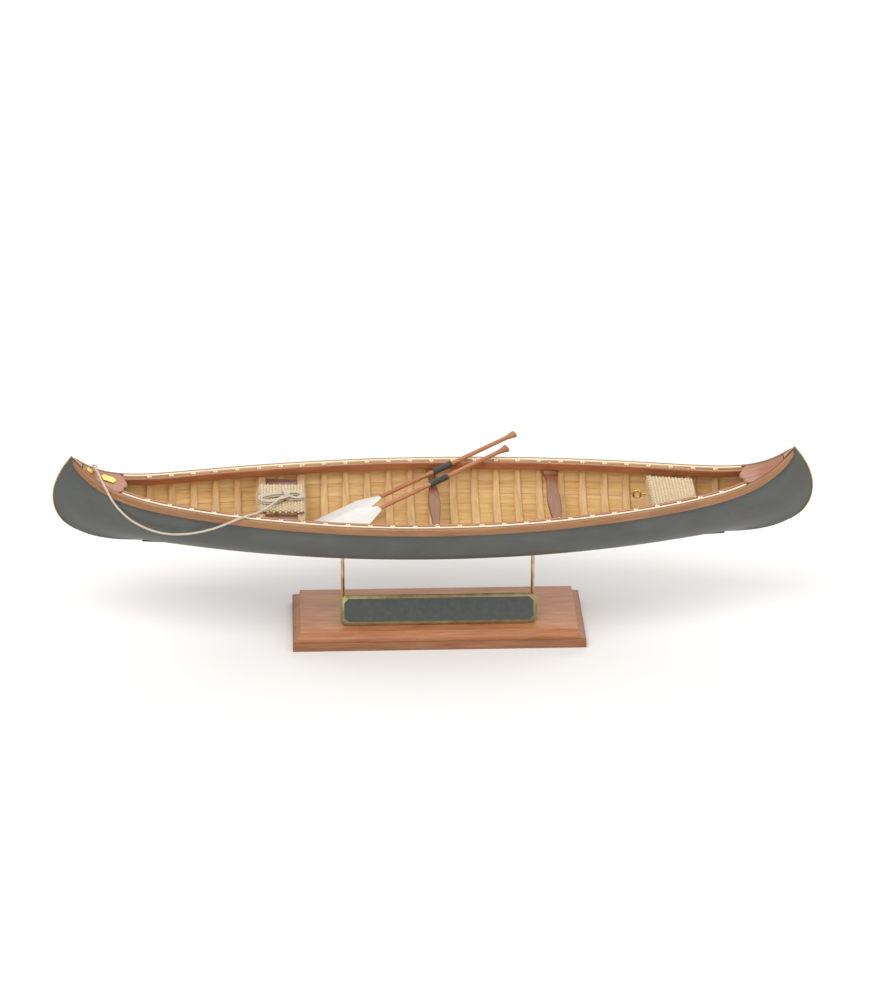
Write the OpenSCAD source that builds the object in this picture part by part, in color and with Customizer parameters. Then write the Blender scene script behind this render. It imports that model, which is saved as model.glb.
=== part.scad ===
// Model canoe on a brass-rod display stand: canvas over cedar planks and ribs, with open
// gunwales, two decks, two thwarts, two woven seats, two paddles and a painter.
// +X runs aft, +Y to starboard, +Z up. The origin is the middle of the plinth's underside.

/* [Hull] */
// Length over the stems
hull_len = 407; // [380:1:430]
// Widest beam, over the outwales
beam = 94; // [88:1:100]
// Height of the hull's bottom above the floor
bottom_z = 52; // [48:0.5:56]
// Depth from the bottom to the gunwale amidships
depth_mid = 27.2; // [25:0.1:29]
// Distance that the canoe's middle stands forward of the plinth's middle
hull_forward = 2; // [0:0.5:4]
// Squareness of the midship section (2 is an ellipse)
section_mid = 3.2; // [2.6:0.1:3.6]
// Slow rise of the gunwale towards the ends
sheer_rise = 6.5; // [4:0.5:8]
// Sharp upturn of the gunwale at the ends
sheer_kick = 17.8; // [14:0.2:20]

/* [Hull layers] */
// Thickness of the painted canvas
canvas_t = 0.4; // [0.3:0.1:0.6]
// Thickness of the cedar planking
plank_t = 1.6; // [1.2:0.1:2]
// Number of ribs
ribs_n = 27; // [21:2:27]
// Distance between ribs
rib_pitch = 11.75; // [11:0.05:12]
// Width of a rib across the bottom
rib_w = 4.2; // [3:0.1:5]
// Thickness of a rib
rib_t = 1.8; // [1.2:0.1:2]

/* [Gunwales and decks] */
// Width of each outwale
outwale_w = 1.9; // [1.5:0.1:2.4]
// Height of each outwale
outwale_h = 3.8; // [3:0.1:4.5]
// Width of each inwale
inwale_w = 2.1; // [1.6:0.1:2.6]
// Height of each inwale
inwale_h = 4.0; // [3.4:0.1:4.4]
// Distance from the middle of the canoe to the point of a deck's inner edge
deck_in = 164; // [162:0.5:166]
// Thickness of a deck
deck_t = 1.4; // [1:0.1:1.8]
// Depth of the outside keel
keel_h = 1.8; // [1.6:0.1:2.4]

/* [Seats and thwarts] */
// Middle of the bow seat, forward of the canoe's middle
bow_seat = 81.9; // [78:0.1:86]
// Middle of the stern seat, aft of the canoe's middle
stern_seat = 127.8; // [124:0.1:130]
// Middle of the stern thwart, aft of the canoe's middle
stern_thwart_at = 64.4; // [60:0.2:68]
// Depth of a seat rail
rail_h = 2.4; // [2:0.1:3]
// Thickness of the woven cord over the rails
weave_t = 1.5; // [1:0.1:1.6]

/* [Paddles] */
// Length of a paddle
paddle_len = 136; // [130:1:140]
// Length of the blade
blade_len = 50; // [44:1:52]
// Width of the blade
blade_w = 13; // [11:0.5:14]
// Diameter of the shaft
shaft_d = 2.4; // [2:0.1:2.6]

/* [Stand] */
// Length of the plinth
plinth_len = 158; // [150:1:170]
// Width of the plinth
plinth_w = 60; // [54:1:66]
// Height of the plinth
plinth_h = 9.6; // [8:0.1:11]
// Distance between the two rods
rod_gap = 103; // [98:1:108]
// Diameter of a rod
rod_d = 2; // [1.8:0.1:2.2]
// Length of the name plate
plate_len = 106; // [100:1:110]
// Height of the name plate
plate_h = 16.5; // [14:0.5:18]

/* [Hidden] */
$fn = 48;

// Colours
canvas_colour = "#5E615A";
cedar_colour = "#D9AE6B";
rib_colour = "#E3BE82";
gunwale_colour = "#B87A50";
mahogany_colour = "#94583F";
thwart_colour = "#8A6154";
brass_colour = "#C9A24C";
cord_colour = "#D8CBB8";
rail_colour = "#C89B72";
weave_colour = "#DCC9A6";

// ---- Hull form ----
stem_x = hull_len / 2;
tip_x = stem_x - 10.7;
heel_x = stem_x - 43.5;
sheer_mid = bottom_z + depth_mid;
tip_z = sheer_mid + sheer_rise + sheer_kick;
stem_z = bottom_z + 28.5;
heel_z = bottom_z + 2.1;
section_end = 1;
tip_half = outwale_w + 0.4;
side = [1, -1];

// Where the stem's outline lies at height z: a rounded forefoot, and a recurved head above it
function stem_at(z) =
    z < stem_z
    ? heel_x + (stem_x - heel_x) * pow(1 - pow((stem_z - z) / (stem_z - heel_z), 2.3), 1 / 2.3)
    : stem_x - (stem_x - tip_x) * pow((z - stem_z) / (tip_z - stem_z), 1.83);

// A row runs from stem to stem; t is 0 on the keel line and 1 on the gunwale
function row_rise(t) = 1 - pow(cos(90 * t), 2 / 1.6);
function row_len(t) = stem_at(heel_z + (tip_z - heel_z) * row_rise(t));

// Along a row, v is 0 amidships and 1 at the stem
function beam_half(v) = tip_half + (beam / 2 - tip_half) * pow(1 - v * v, 0.96);
function skin_half(v) = beam_half(v) - outwale_w;
function sheer(v) = sheer_mid + sheer_rise * v * v + sheer_kick * pow(v, 12.5);
function bottom(v) = bottom_z + (heel_z - bottom_z) * pow(v, 3);
function squareness(v) = section_end + (section_mid - section_end) * (1 - v * v);

// Half-breadth and height of the hull's outer surface
function shape(v, t) =
    let (
        n = 2 / squareness(v),
        blend = pow(v, 6),
        rise = (1 - pow(cos(90 * t), n)) * (1 - blend) + row_rise(t) * blend
    )
    [skin_half(v) * pow(sin(90 * t), n), bottom(v) + (sheer(v) - bottom(v)) * rise];

// The same for a negative t, on the other side of the keel line
function shape_at(v, t) = t < 0 ? let (p = shape(v, -t)) [-p[0], p[1]] : shape(v, t);

// The surface set in by a distance, square to the section
step_t = 0.02;
function inset(v, t, gap, least = 0.3) =
    let (
        a = shape_at(v, t - step_t),
        b = shape_at(v, min(t + step_t, 1)),
        d = (b - a) / norm(b - a),
        p = shape(v, t)
    )
    [max(p[0] - gap * d[1], least * p[0]), p[1] + gap * d[0]];

// Half-breadth of the outer surface at a depth below the gunwale
function side_y(x, drop) =
    let (
        v = min(abs(x) / tip_x, 1),
        blend = pow(v, 6),
        n = 2 / squareness(v) * (1 - blend) + 2 / 1.6 * blend,
        t = acos(pow(drop / (sheer(v) - bottom(v)), 1 / n)) / 90
    )
    shape(share(x, t), t)[0];

function share(x, t) = min(abs(x) / row_len(t), 1);
function sheer_at(x) = sheer(min(abs(x) / tip_x, 1));
function beam_at(x) = beam_half(min(abs(x) / tip_x, 1));
function bottom_at(x) = bottom(min(abs(x) / heel_x, 1));
// Half-breadth at the gunwale, set in from the outwale's outer face
function gunwale_y(x, gap) = beam_at(x) - gap;
rib_gap = 0.08;
inwale_out = outwale_w + canvas_t + plank_t + rib_gap + rib_t + 0.02;
inwale_in = inwale_out + inwale_w;

// ---- Solids between two sheets of points ----
// Both sheets have the same rows and columns; the first is the upper or outer one
module between(upper, lower) {
    m = len(upper);
    n = len(upper[0]);
    points = concat([for (r = upper) for (p = r) p], [for (r = lower) for (p = r) p]);
    base = m * n;
    function at(i, j) = i * n + j;
    polyhedron(points, concat(
        [for (i = [0:m - 2]) for (j = [0:n - 2])
            for (f = [[at(i, j), at(i + 1, j), at(i + 1, j + 1)],
                      [at(i, j), at(i + 1, j + 1), at(i, j + 1)]]) f],
        [for (i = [0:m - 2]) for (j = [0:n - 2])
            for (f = [[base + at(i, j), base + at(i + 1, j + 1), base + at(i + 1, j)],
                      [base + at(i, j), base + at(i, j + 1), base + at(i + 1, j + 1)]]) f],
        [for (i = [0:m - 2])
            for (f = [[at(i, 0), base + at(i, 0), base + at(i + 1, 0)],
                      [at(i, 0), base + at(i + 1, 0), at(i + 1, 0)],
                      [at(i, n - 1), at(i + 1, n - 1), base + at(i + 1, n - 1)],
                      [at(i, n - 1), base + at(i + 1, n - 1), base + at(i, n - 1)]]) f],
        [for (j = [0:n - 2])
            for (f = [[at(0, j), at(0, j + 1), base + at(0, j + 1)],
                      [at(0, j), base + at(0, j + 1), base + at(0, j)],
                      [at(m - 1, j), base + at(m - 1, j + 1), at(m - 1, j + 1)],
                      [at(m - 1, j), base + at(m - 1, j), base + at(m - 1, j + 1)]]) f]
    ));
}

module afloat() {
    translate([-hull_forward, 0, 0])
        children();
}

module at_end(s) {
    if (s < 0)
        mirror([1, 0, 0])
            children();
    else
        children();
}

// ---- Skin, planks and ribs ----
// Rows that every layer shares, closer where the bilge turns; plank edges fall on some of them
row_ts = [0, 0.05, 0.15, 0.27, 0.345, 0.42, 0.51, 0.6, 0.7, 0.8, 0.9, 1];
plank_edges = [0, 1, 2, 3, 5, 7, 9, 11];
planks = len(plank_edges) - 1;
skin_rows = len(row_ts) - 1;
skin_stations = 20;
// Closer stations towards the stems, where the shape turns fastest
function station(i) = sign(i) * sin(90 * abs(i) / skin_stations);
function row_t(j) = sign(j) * row_ts[abs(j)];
function skin_point(v, t, gap) =
    let (p = inset(abs(v), abs(t), gap))
    [v * row_len(abs(t)), -sign(t) * p[0], p[1]];

module canvas_skin() {
    function sheet(gap) = [
        for (i = [-skin_stations:skin_stations]) [
            for (j = [-skin_rows:skin_rows])
                skin_point(station(i), row_t(j), gap)]];
    color(canvas_colour)
        afloat()
            between(sheet(canvas_t), sheet(0));
}

// A plank is a band of rows; the top one stops at the decks. Its edges stand a little
// inside its rows, which leaves a seam between planks.
plank_seam = 0.03;
plank_gap = 0.02;
plank_reach = 15;
top_plank_end = 0.862;
module plank(k, s) {
    first = plank_edges[k - 1];
    last = plank_edges[k];
    reach = k == planks ? plank_reach - 1 : plank_reach;
    rows = s > 0 ? [last:-1:first] : [first:last];
    function v_at(i) = sign(i) * min(station(abs(i)), k == planks ? top_plank_end : 1);
    function point(i, j, gap) =
        let (v = v_at(i), p = inset(abs(v), row_ts[j], gap))
        [v * row_len(row_ts[j]), s * max(p[0], 0.08), p[1]];
    function seam(i, j, to, gap) =
        let (p = point(i, j, gap))
        p + plank_seam * (point(i, to, gap) - p);
    function sheet(gap) = [
        for (i = [-reach:reach]) [
            for (j = rows)
                j == first && k > 1 ? seam(i, j, j + 1, gap)
                : j == last && k < planks ? seam(i, j, j - 1, gap)
                : point(i, j, gap)]];
    color(cedar_colour)
        afloat()
            between(sheet(canvas_t + plank_t), sheet(canvas_t + plank_gap));
}

// A rib narrows from the bottom to its two heads between the planking and the inwale
rib_head_w = 2.5;
// Extra room under the ribs where the hull draws in to its ends
end_spare = 0.4;
module rib(x) {
    function half_w(t) = (rib_w + (rib_head_w - rib_w) * pow(abs(t), 3)) / 2;
    function point(x, t, gap, least) =
        let (
            v = share(x, abs(t)),
            spare = end_spare * pow(v, 8) * (1 - abs(t)),
            p = inset(v, abs(t), gap + spare, least)
        )
        [x, -sign(t) * p[0], p[1]];
    function sheet(gap, least) = [
        for (e = [-1, 1]) [
            for (j = [-skin_rows:skin_rows])
                point(x + e * half_w(row_t(j)), row_t(j), gap, least)]];
    rib_out = canvas_t + plank_t + rib_gap;
    between(sheet(rib_out + rib_t, 0.2), sheet(rib_out, 0.26));
}

module ribs() {
    color(rib_colour)
        afloat()
            for (k = [0:ribs_n - 1])
                rib((k - (ribs_n - 1) / 2) * rib_pitch);
}

// ---- Stems ----
// The stem fills the hull's narrow end, and its head shows between the outwales
head_from = 187.3;
module stem(s) {
    stations = [station(16), 0.971, 0.973, station(18), 0.9945];
    function head_drop(v) = v * tip_x < head_from ? deck_t + 0.1 : -0.2;
    function face(e) = [
        for (v = stations) [
            for (j = [1:skin_rows])
                let (
                    t = row_ts[j],
                    p = inset(v, t, canvas_t + 0.03, 0.25),
                    drop = t == 1 ? head_drop(v) : 0
                )
                [v * row_len(t), e * p[0], p[1] - drop]]];
    color(rib_colour)
        afloat()
            at_end(s)
                between(face(1), face(-1));
}

// A half-round brass strip down the outside of the stem
band_w = 1.3;
band_t = 0.5;
module stem_band(s) {
    heights = [for (k = [0:14]) bottom_z + 9 + (tip_z + 0.2 - bottom_z - 9) * k / 14];
    function strip(gap) = [
        for (z = heights) [
            for (e = side)
                [stem_at(min(z, tip_z)) + gap, e * band_w / 2, z]]];
    color(brass_colour)
        afloat()
            at_end(s)
                between(strip(0.02), strip(band_t));
}

// ---- Gunwales ----
gunwale_steps = 20;
function gunwale_x(k, reach) = reach * sin(90 * k / gunwale_steps);

// The strip leans with the hull's side
module rail_strip(reach, out_gap, in_gap, rise, height) {
    function sheet(drop) = [
        for (k = [-gunwale_steps:gunwale_steps])
            let (x = gunwale_x(k, reach), side_in = side_y(x, 0) - side_y(x, drop)) [
                for (gap = [out_gap, in_gap])
                    [x, gunwale_y(x, gap) - side_in, sheer_at(x) + rise - drop]]];
    between(sheet(0), sheet(height));
}

module outwale(s) {
    color(gunwale_colour)
        afloat()
            mirror([0, s < 0 ? 1 : 0, 0])
                rail_strip(tip_x - 0.6, 0, outwale_w - 0.05, 0.2, outwale_h);
}

inwale_end = 163.3;
module inwale(s) {
    color(mahogany_colour)
        afloat()
            mirror([0, s < 0 ? 1 : 0, 0])
                rail_strip(inwale_end, inwale_out + 0.03, inwale_in, 0, inwale_h);
}

// ---- Decks ----
// The inner edge is scalloped: a middle lobe between two cusps, then a lobe to each gunwale
function deck_edge(w) =
    let (a = abs(w))
    a < 0.42
    ? deck_in + 1.5 * pow(a / 0.42, 2)
    : let (u = (a - 0.42) / 0.58) deck_in + 1.5 + 3.1 * u - 1.1 * sin(180 * u);

deck_rows = 9;
deck_columns = 12;
deck_tip = 187;
deck_crown = 0.6;
function deck_half(x) = gunwale_y(x, outwale_w + canvas_t + 0.12);
function deck_top(x, w) = sheer_at(x) + 0.15 + deck_crown * (1 - w * w) * deck_half(x) / 14;

module deck(s) {
    function sheet(drop) = [
        for (i = [0:deck_rows]) [
            for (j = [-deck_columns:deck_columns])
                let (
                    w = j / deck_columns,
                    x = deck_edge(w) + (deck_tip - deck_edge(w)) * i / deck_rows
                )
                [x, -w * deck_half(x), deck_top(x, w) - drop]]];
    color(mahogany_colour)
        afloat()
            at_end(s)
                between(sheet(0), sheet(deck_t));
}

// ---- Outside keel, with a blind bore for each rod ----
keel_w = 3.2;
keel_half = 157;
keel_end = 0.3;
keel_fade = 46;
bore_depth = 1.5;
module outside_keel() {
    steps = 12;
    xs = [for (k = [-steps:steps]) keel_half * k / steps];
    upper = [for (x = xs) [x, bottom_at(x) - 0.05]];
    lower = [for (k = [steps:-1:-steps])
        let (x = keel_half * k / steps, full = min(1, (keel_half - abs(x)) / keel_fade))
        [x, bottom_at(x) - keel_end - (keel_h - keel_end) * full]];
    color(canvas_colour)
        difference() {
            afloat()
                translate([0, keel_w / 2, 0])
                    rotate([90, 0, 0])
                        linear_extrude(keel_w)
                            polygon(concat(upper, lower));
            for (s = side)
                translate([s * rod_gap / 2, 0, bottom_z - keel_h - 5])
                    cylinder(d = rod_d + 0.1, h = 5 + bore_depth);
        }
}

// ---- Thwarts ----
thwart_t = 1.8;
thwart_top = sheer_mid - inwale_h - 1.1;
module thwart(x, middle, neck, flare) {
    half = gunwale_y(x, inwale_in) - 0.3;
    foot = gunwale_y(x, inwale_out) - 0.6;
    steps = 16;
    // Wide in the middle, a narrow neck at three quarters, and flared feet
    function wide(k) =
        let (w = abs(k) / steps)
        (w < 0.72
            ? neck + (middle - neck) * pow(cos(90 * w / 0.72), 2)
            : neck + (flare - neck) * pow((w - 0.72) / 0.28, 2)) / 2;
    color(thwart_colour)
        afloat() {
            translate([x, 0, thwart_top - thwart_t])
                linear_extrude(thwart_t)
                    polygon(concat(
                        [for (k = [-steps:steps]) [wide(k), foot * k / steps]],
                        [for (k = [steps:-1:-steps]) [-wide(k), foot * k / steps]]));
            // Raised pads that meet the inwales' undersides
            for (e = side)
                translate([x - neck / 2, e > 0 ? half + 0.6 : -foot, thwart_top])
                    cube([neck, foot - half - 0.6, rail_top(x) - thwart_top]);
        }
}

// A bolt stands through the inwale and the wood that hangs under it
bolt_head_d = 1.2;
bolt_head_h = 0.25;
module bolt(x, y, top, length) {
    translate([x, y, top - length])
        cylinder(d = 0.7, h = length);
    translate([x, y, top])
        cylinder(d = bolt_head_d, h = bolt_head_h);
}

module thwart_bolts() {
    color(brass_colour)
        afloat()
            for (x = [0, stern_thwart_at])
                for (e = side)
                    bolt(x, e * (gunwale_y(x, inwale_in) + 1), sheer_at(x), sheer_at(x) - thwart_top + thwart_t);
}

// ---- Seats ----
// Each seat hangs level across the canoe, under the inwales, and follows their slope. It is
// laid out flat, with the top of its rails at height 0 and its inner rail nearest amidships.
bow_rail_w = 4.2;
bow_inner_x = bow_seat - 10.55;
bow_outer_x = bow_seat + 10.55;
bow_panel_half = 16.8;
stern_rail_w = 3.6;
stern_inner_x = stern_seat - 10.5;
stern_outer_x = stern_seat + 10.5;
stern_inner_half = 19.2;
stern_outer_half = 11.2;
function rail_top(x) = sheer_at(x) - inwale_h - 0.1;
function rail_reach(x, width) = gunwale_y(x + width / 2, inwale_out) - 0.6;

module hung(s, inner, outer) {
    rise = rail_top(outer) - rail_top(inner);
    afloat()
        at_end(s)
            translate([inner, 0, rail_top(inner)])
                rotate([0, -atan2(rise, outer - inner), 0])
                    translate([-inner, 0, 0])
                        children();
}

module cross_rail(x, width) {
    reach = rail_reach(x, width);
    translate([x - width / 2, -reach, -rail_h])
        cube([width, 2 * reach, rail_h]);
}

// Cord woven over the top of the frame and wrapped right round both rails
module woven_panel(inner, outer, inner_half, outer_half, rail) {
    edge = rail / 2 + weave_t;
    difference() {
        translate([0, 0, -rail_h - weave_t])
            linear_extrude(rail_h + 2 * weave_t)
                polygon([
                    [inner - edge, -inner_half], [outer + edge, -outer_half],
                    [outer + edge, outer_half], [inner - edge, inner_half]]);
        for (x = [inner, outer])
            translate([x - rail / 2 - 0.02, -beam / 2, -rail_h - 0.02])
                cube([rail + 0.04, beam, rail_h + 0.04]);
        translate([inner + edge, -beam / 2, -rail_h - 2 * weave_t])
            cube([outer - inner - 2 * edge, beam, rail_h + 2 * weave_t]);
    }
}

module bow_seat_rail(x) {
    color(rail_colour)
        hung(-1, bow_inner_x, bow_outer_x)
            cross_rail(x, bow_rail_w);
}

module bow_seat_side_boards() {
    near = bow_panel_half + 0.3;
    far = rail_reach(bow_outer_x, bow_rail_w) - 2.5;
    from = bow_inner_x + bow_rail_w / 2 + 0.02;
    color(mahogany_colour)
        hung(-1, bow_inner_x, bow_outer_x)
            for (y = [near, -far])
                translate([from, y, -rail_h])
                    cube([bow_outer_x - bow_rail_w / 2 - 0.02 - from, far - near, rail_h - 0.4]);
}

module bow_seat_panel() {
    color(weave_colour)
        hung(-1, bow_inner_x, bow_outer_x)
            woven_panel(bow_inner_x, bow_outer_x, bow_panel_half, bow_panel_half, bow_rail_w);
}

module stern_seat_rail(x) {
    color(rail_colour)
        hung(1, stern_inner_x, stern_outer_x)
            cross_rail(x, stern_rail_w);
}

module stern_seat_panel() {
    color(weave_colour)
        hung(1, stern_inner_x, stern_outer_x)
            woven_panel(stern_inner_x, stern_outer_x, stern_inner_half, stern_outer_half, stern_rail_w);
}

// A bolt through the inwale into each end of the four seat rails
module seat_bolts() {
    color(brass_colour)
        afloat()
            for (x = [-bow_outer_x, -bow_inner_x, stern_inner_x, stern_outer_x])
                for (e = side)
                    bolt(x, e * (gunwale_y(x, inwale_in) + 1), sheer_at(x), inwale_h + rail_h);
}

// Screw eye in the inner face of the stern seat's forward rail
eye_r = 2;
eye_wire = 1.1;
eye_neck = 3;
eye_x = stern_inner_x - stern_rail_w / 2 - weave_t - eye_r - eye_neck;
eye_z = rail_top(stern_inner_x) - 0.8;
module stern_seat_eye() {
    color(brass_colour)
        afloat()
            translate([eye_x, 0, eye_z]) {
                rotate([90, 0, 0])
                    rotate_extrude()
                        translate([eye_r, 0])
                            circle(d = eye_wire, $fn = 24);
                translate([eye_r, 0, 0])
                    rotate([0, 90, 0])
                        cylinder(d = eye_wire, h = eye_neck - 0.04);
            }
}

// ---- Plates and eye on the bow deck ----
module deck_plate(x, length, width, point) {
    half = length / 2;
    ends = [deck_top(x - half, 0), deck_top(x + half, 0)];
    slope = atan2(ends[1] - ends[0], length);
    translate([-x, 0, (ends[0] + ends[1]) / 2 + 0.05])
        rotate([0, slope, 0])
            linear_extrude(0.4)
                polygon([
                    [-half, 0], [-half + point, width / 2], [half - point, width / 2],
                    [half, 0], [half - point, -width / 2], [-half + point, -width / 2]]);
}

module bow_deck_plate_small() {
    color("#E6CF6E")
        afloat()
            deck_plate(183.6, 4.6, 4.2, 1.2);
}

module bow_deck_plate_large() {
    color("#E6CF6E")
        afloat()
            deck_plate(173.8, 8.6, 6.6, 1.4);
}

// Eye bolt that the painter is made fast to, on the starboard side of the bow deck
painter_eye_at = [-183, 3.6, 95.6];
painter_eye_r = 1.2;
module painter_eye() {
    foot_z = deck_top(-painter_eye_at[0] - hull_forward, 0.6);
    shank = painter_eye_at[2] - painter_eye_r - foot_z;
    color(brass_colour) {
        translate(painter_eye_at)
            rotate([0, 90, 65])
                rotate_extrude()
                    translate([painter_eye_r, 0])
                        circle(d = 0.6, $fn = 24);
        translate([painter_eye_at[0], painter_eye_at[1], foot_z])
            cylinder(d = 0.8, h = shank);
    }
}

// ---- Painter ----
painter_d = 1.2;
// From the ring, over the near outwale, down in a bight outside the hull, and back inboard
painter_route = [
    [-182.6, 2.0, 96.2], [-181.6, -1.5, 95.3], [-180.2, -5.0, 94.0], [-178.4, -9.0, 91.8],
    [-176.6, -12.2, 89.8], [-174.8, -13.6, 86.4], [-172.2, -14.4, 82.0], [-168.5, -15.8, 77.8],
    [-164.0, -17.6, 74.2], [-158.5, -19.8, 71.6], [-151.5, -22.6, 69.7], [-143.5, -25.6, 69.3],
    [-135.0, -28.4, 70.5], [-127.0, -31.0, 72.8], [-119.5, -33.2, 75.8], [-113.5, -34.9, 78.9],
    [-109.0, -35.9, 81.4], [-105.5, -35.2, 82.5], [-101.5, -32.4, 82.6], [-97.5, -28.0, 81.6],
    [-93.5, -22.0, 80.8], [-90.0, -16.5, 80.6], [-86.8, -11.5, 80.9], [-85.2, -9.2, 81.1]
];
painter_parts = 3;

// A smooth curve through the route's points
function curve_at(p, i, u) =
    let (
        n = len(p) - 1,
        a = p[max(i - 1, 0)],
        b = p[i],
        c = p[min(i + 1, n)],
        d = p[min(i + 2, n)]
    )
    0.5 * (2 * b + (c - a) * u + (2 * a - 5 * b + 4 * c - d) * u * u
        + (3 * b - a - 3 * c + d) * u * u * u);

function curve(p, parts) = concat(
    [for (i = [0:len(p) - 2]) for (k = [0:parts - 1]) curve_at(p, i, k / parts)],
    [p[len(p) - 1]]);

module tube(path, d) {
    n = len(path);
    sides = 8;
    function along(i) =
        let (v = path[min(i + 1, n - 1)] - path[max(i - 1, 0)])
        v / norm(v);
    function ring(i) =
        let (
            w = along(i),
            q = cross([0, 0.1, 1], w),
            a = q / norm(q),
            b = cross(w, a)
        )
        [for (k = [0:sides - 1])
            path[i] + d / 2 * (cos(360 * k / sides) * a + sin(360 * k / sides) * b)];
    points = [for (i = [0:n - 1]) for (p = ring(i)) p];
    polyhedron(points, concat(
        [for (i = [0:n - 2]) for (k = [0:sides - 1])
            let (e = (k + 1) % sides)
            for (f = [[i * sides + k, (i + 1) * sides + k, (i + 1) * sides + e],
                      [i * sides + k, (i + 1) * sides + e, i * sides + e]]) f],
        [[for (k = [0:sides - 1]) k]],
        [[for (k = [sides - 1:-1:0]) (n - 1) * sides + k]]));
}

module painter_line() {
    color(cord_colour)
        tube(curve(painter_route, painter_parts), painter_d);
}

// The spare painter, made up in a hank that lies on the bow seat: its outline is drawn on
// the flat seat, from the wide end with the open loop to the narrow one
hank_h = 4.2;
module painter_hank() {
    color(cord_colour)
        hung(-1, bow_inner_x, bow_outer_x)
            translate([0, 0, weave_t + 0.05])
                linear_extrude(hank_h)
                    hull() {
                        translate([88.8, -5.1])
                            circle(r = 5.4);
                        translate([75.1, -1.2])
                            circle(r = 5);
                    }
}

// ---- Paddles ----
// A paddle is drawn along X: its neck is at the origin, its blade runs to +X
blade_t = 1.1;
neck_share = 0.26;
shoulder_end = 0.22;
module blade() {
    // Half-width along the blade: straight shoulders, a long even run, and a rounded tip
    function half(u) =
        let (
            shoulder = min(1, neck_share + (1 - neck_share) * u / shoulder_end),
            tip = u > 0.8 ? sqrt(1 - pow((u - 0.8) / 0.2, 2) * 0.96) : 1
        )
        blade_w / 2 * shoulder * tip;
    steps = 14;
    across = 3;
    function sheet(e) = [
        for (i = [0:steps]) [
            for (j = [-across:across])
                let (u = i / steps, w = j / across, edge = 0.2 + 0.8 * (1 - w * w) * (1 - 0.55 * u))
                [u * blade_len, half(u) * w, e * blade_t / 2 * edge]]];
    between(sheet(-1), sheet(1));
}

handle_len = paddle_len - blade_len;
grip_len = 7;
module shaft() {
    translate([-handle_len + grip_len, 0, 0])
        rotate([0, 90, 0])
            cylinder(d = shaft_d, h = handle_len - grip_len - 0.01);
}

// A pear-shaped grip, flattened at its end
module grip() {
    translate([-handle_len, 0, 0])
        rotate([0, 90, 0])
            rotate_extrude()
                polygon(concat(
                    [[0, 0], [2.1, 0], [2.7, 0.5], [2.8, 1.2]],
                    [for (k = [1:5]) [1.2 + 1.6 * pow(1 - k / 5, 1.6), 1.2 + (grip_len - 1.22) * k / 5]],
                    [[0, grip_len - 0.02]]));
}

// Leather wrap round the shaft where it lies on the gunwale
sleeve_d = 3.6;
sleeve_from = 33.5;
sleeve_len = 11.5;
module sleeve() {
    rotate([0, -90, 0])
        translate([0, 0, sleeve_from])
            difference() {
                cylinder(d = sleeve_d, h = sleeve_len);
                translate([0, 0, -1])
                    cylinder(d = shaft_d + 0.02, h = sleeve_len + 2);
            }
}

// Where each paddle's neck lies, and the way its blade points
far_neck = [-30.7, 17.6, 69];
far_way = [-0.873, -0.428, -0.233];
near_neck = [-31.2, -0.9, 71];
near_way = [-0.826, -0.546, -0.155];
near_roll = -18;

module lay(neck, way, roll = 0) {
    translate(neck)
        rotate([roll, -asin(way[2] / norm(way)), atan2(way[1], way[0])])
            children();
}

// ---- Stand ----
// Profile of the plinth's moulded edge: an upright lip, a small quirk and a cove
lip_h = 5;
edge_in = 4.2;
module plinth_profile(width) {
    half = width / 2;
    cove = [for (a = [0:15:90])
        [half - 1 - (edge_in - 1) * sin(a), lip_h + 0.4 + (plinth_h - 0.9 - lip_h) * (1 - cos(a))]];
    right = concat([[half, 0], [half, lip_h], [half - 1, lip_h]], cove, [[half - edge_in, plinth_h]]);
    polygon(concat(right, [for (k = [len(right) - 1:-1:0]) [-right[k][0], right[k][1]]]));
}

module plinth() {
    color("#B07A58")
        difference() {
            intersection() {
                translate([0, plinth_w / 2, 0])
                    rotate([90, 0, 0])
                        linear_extrude(plinth_w)
                            plinth_profile(plinth_len);
                translate([-plinth_len / 2, 0, 0])
                    rotate([90, 0, 90])
                        linear_extrude(plinth_len)
                            plinth_profile(plinth_w);
            }
            for (s = side)
                translate([s * rod_gap / 2, 0, 2.5])
                    cylinder(d = rod_d, h = plinth_h);
        }
}

rod_top = bottom_z - keel_h + bore_depth;
module rod(s) {
    color(brass_colour)
        translate([s * rod_gap / 2, 0, 2.5])
            cylinder(d = rod_d, h = rod_top - 2.5 - 0.02);
}

// The plate leans back on a low wedge, to face a viewer
plate_tilt = 22;
plate_foot_y = -plinth_w / 2 + edge_in + 6.5;
plate_t = 0.8;
field_t = 0.25;
module plate_outline(length, height, notch) {
    x = length / 2;
    polygon([
        [-x + notch, 0], [x - notch, 0], [x, notch], [x, height - notch],
        [x - notch, height], [-x + notch, height], [-x, height - notch], [-x, notch]]);
}

module on_rest() {
    translate([0, plate_foot_y, plinth_h])
        rotate([90 - plate_tilt, 0, 0])
            children();
}

module name_plate() {
    color("#B59A5E")
        on_rest()
            translate([0, 0.35, 0])
                linear_extrude(plate_t)
                    plate_outline(plate_len, plate_h, 2.2);
}

module name_plate_field() {
    color("#4C564B")
        on_rest()
            translate([0, 0.35 + 1.5, plate_t + 0.01])
                linear_extrude(field_t)
                    plate_outline(plate_len - 3, plate_h - 3, 2.2);
}

module plate_rest() {
    rest_h = 12;
    foot = rest_h * tan(plate_tilt) + 3;
    color("#B07A58")
        translate([-plate_len / 2 + 6, plate_foot_y + 0.02, plinth_h])
            rotate([90, 0, 90])
                linear_extrude(plate_len - 12)
                    polygon([[0, 0], [foot, 0], [foot, rest_h], [rest_h * tan(plate_tilt), rest_h]]);
}

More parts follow.
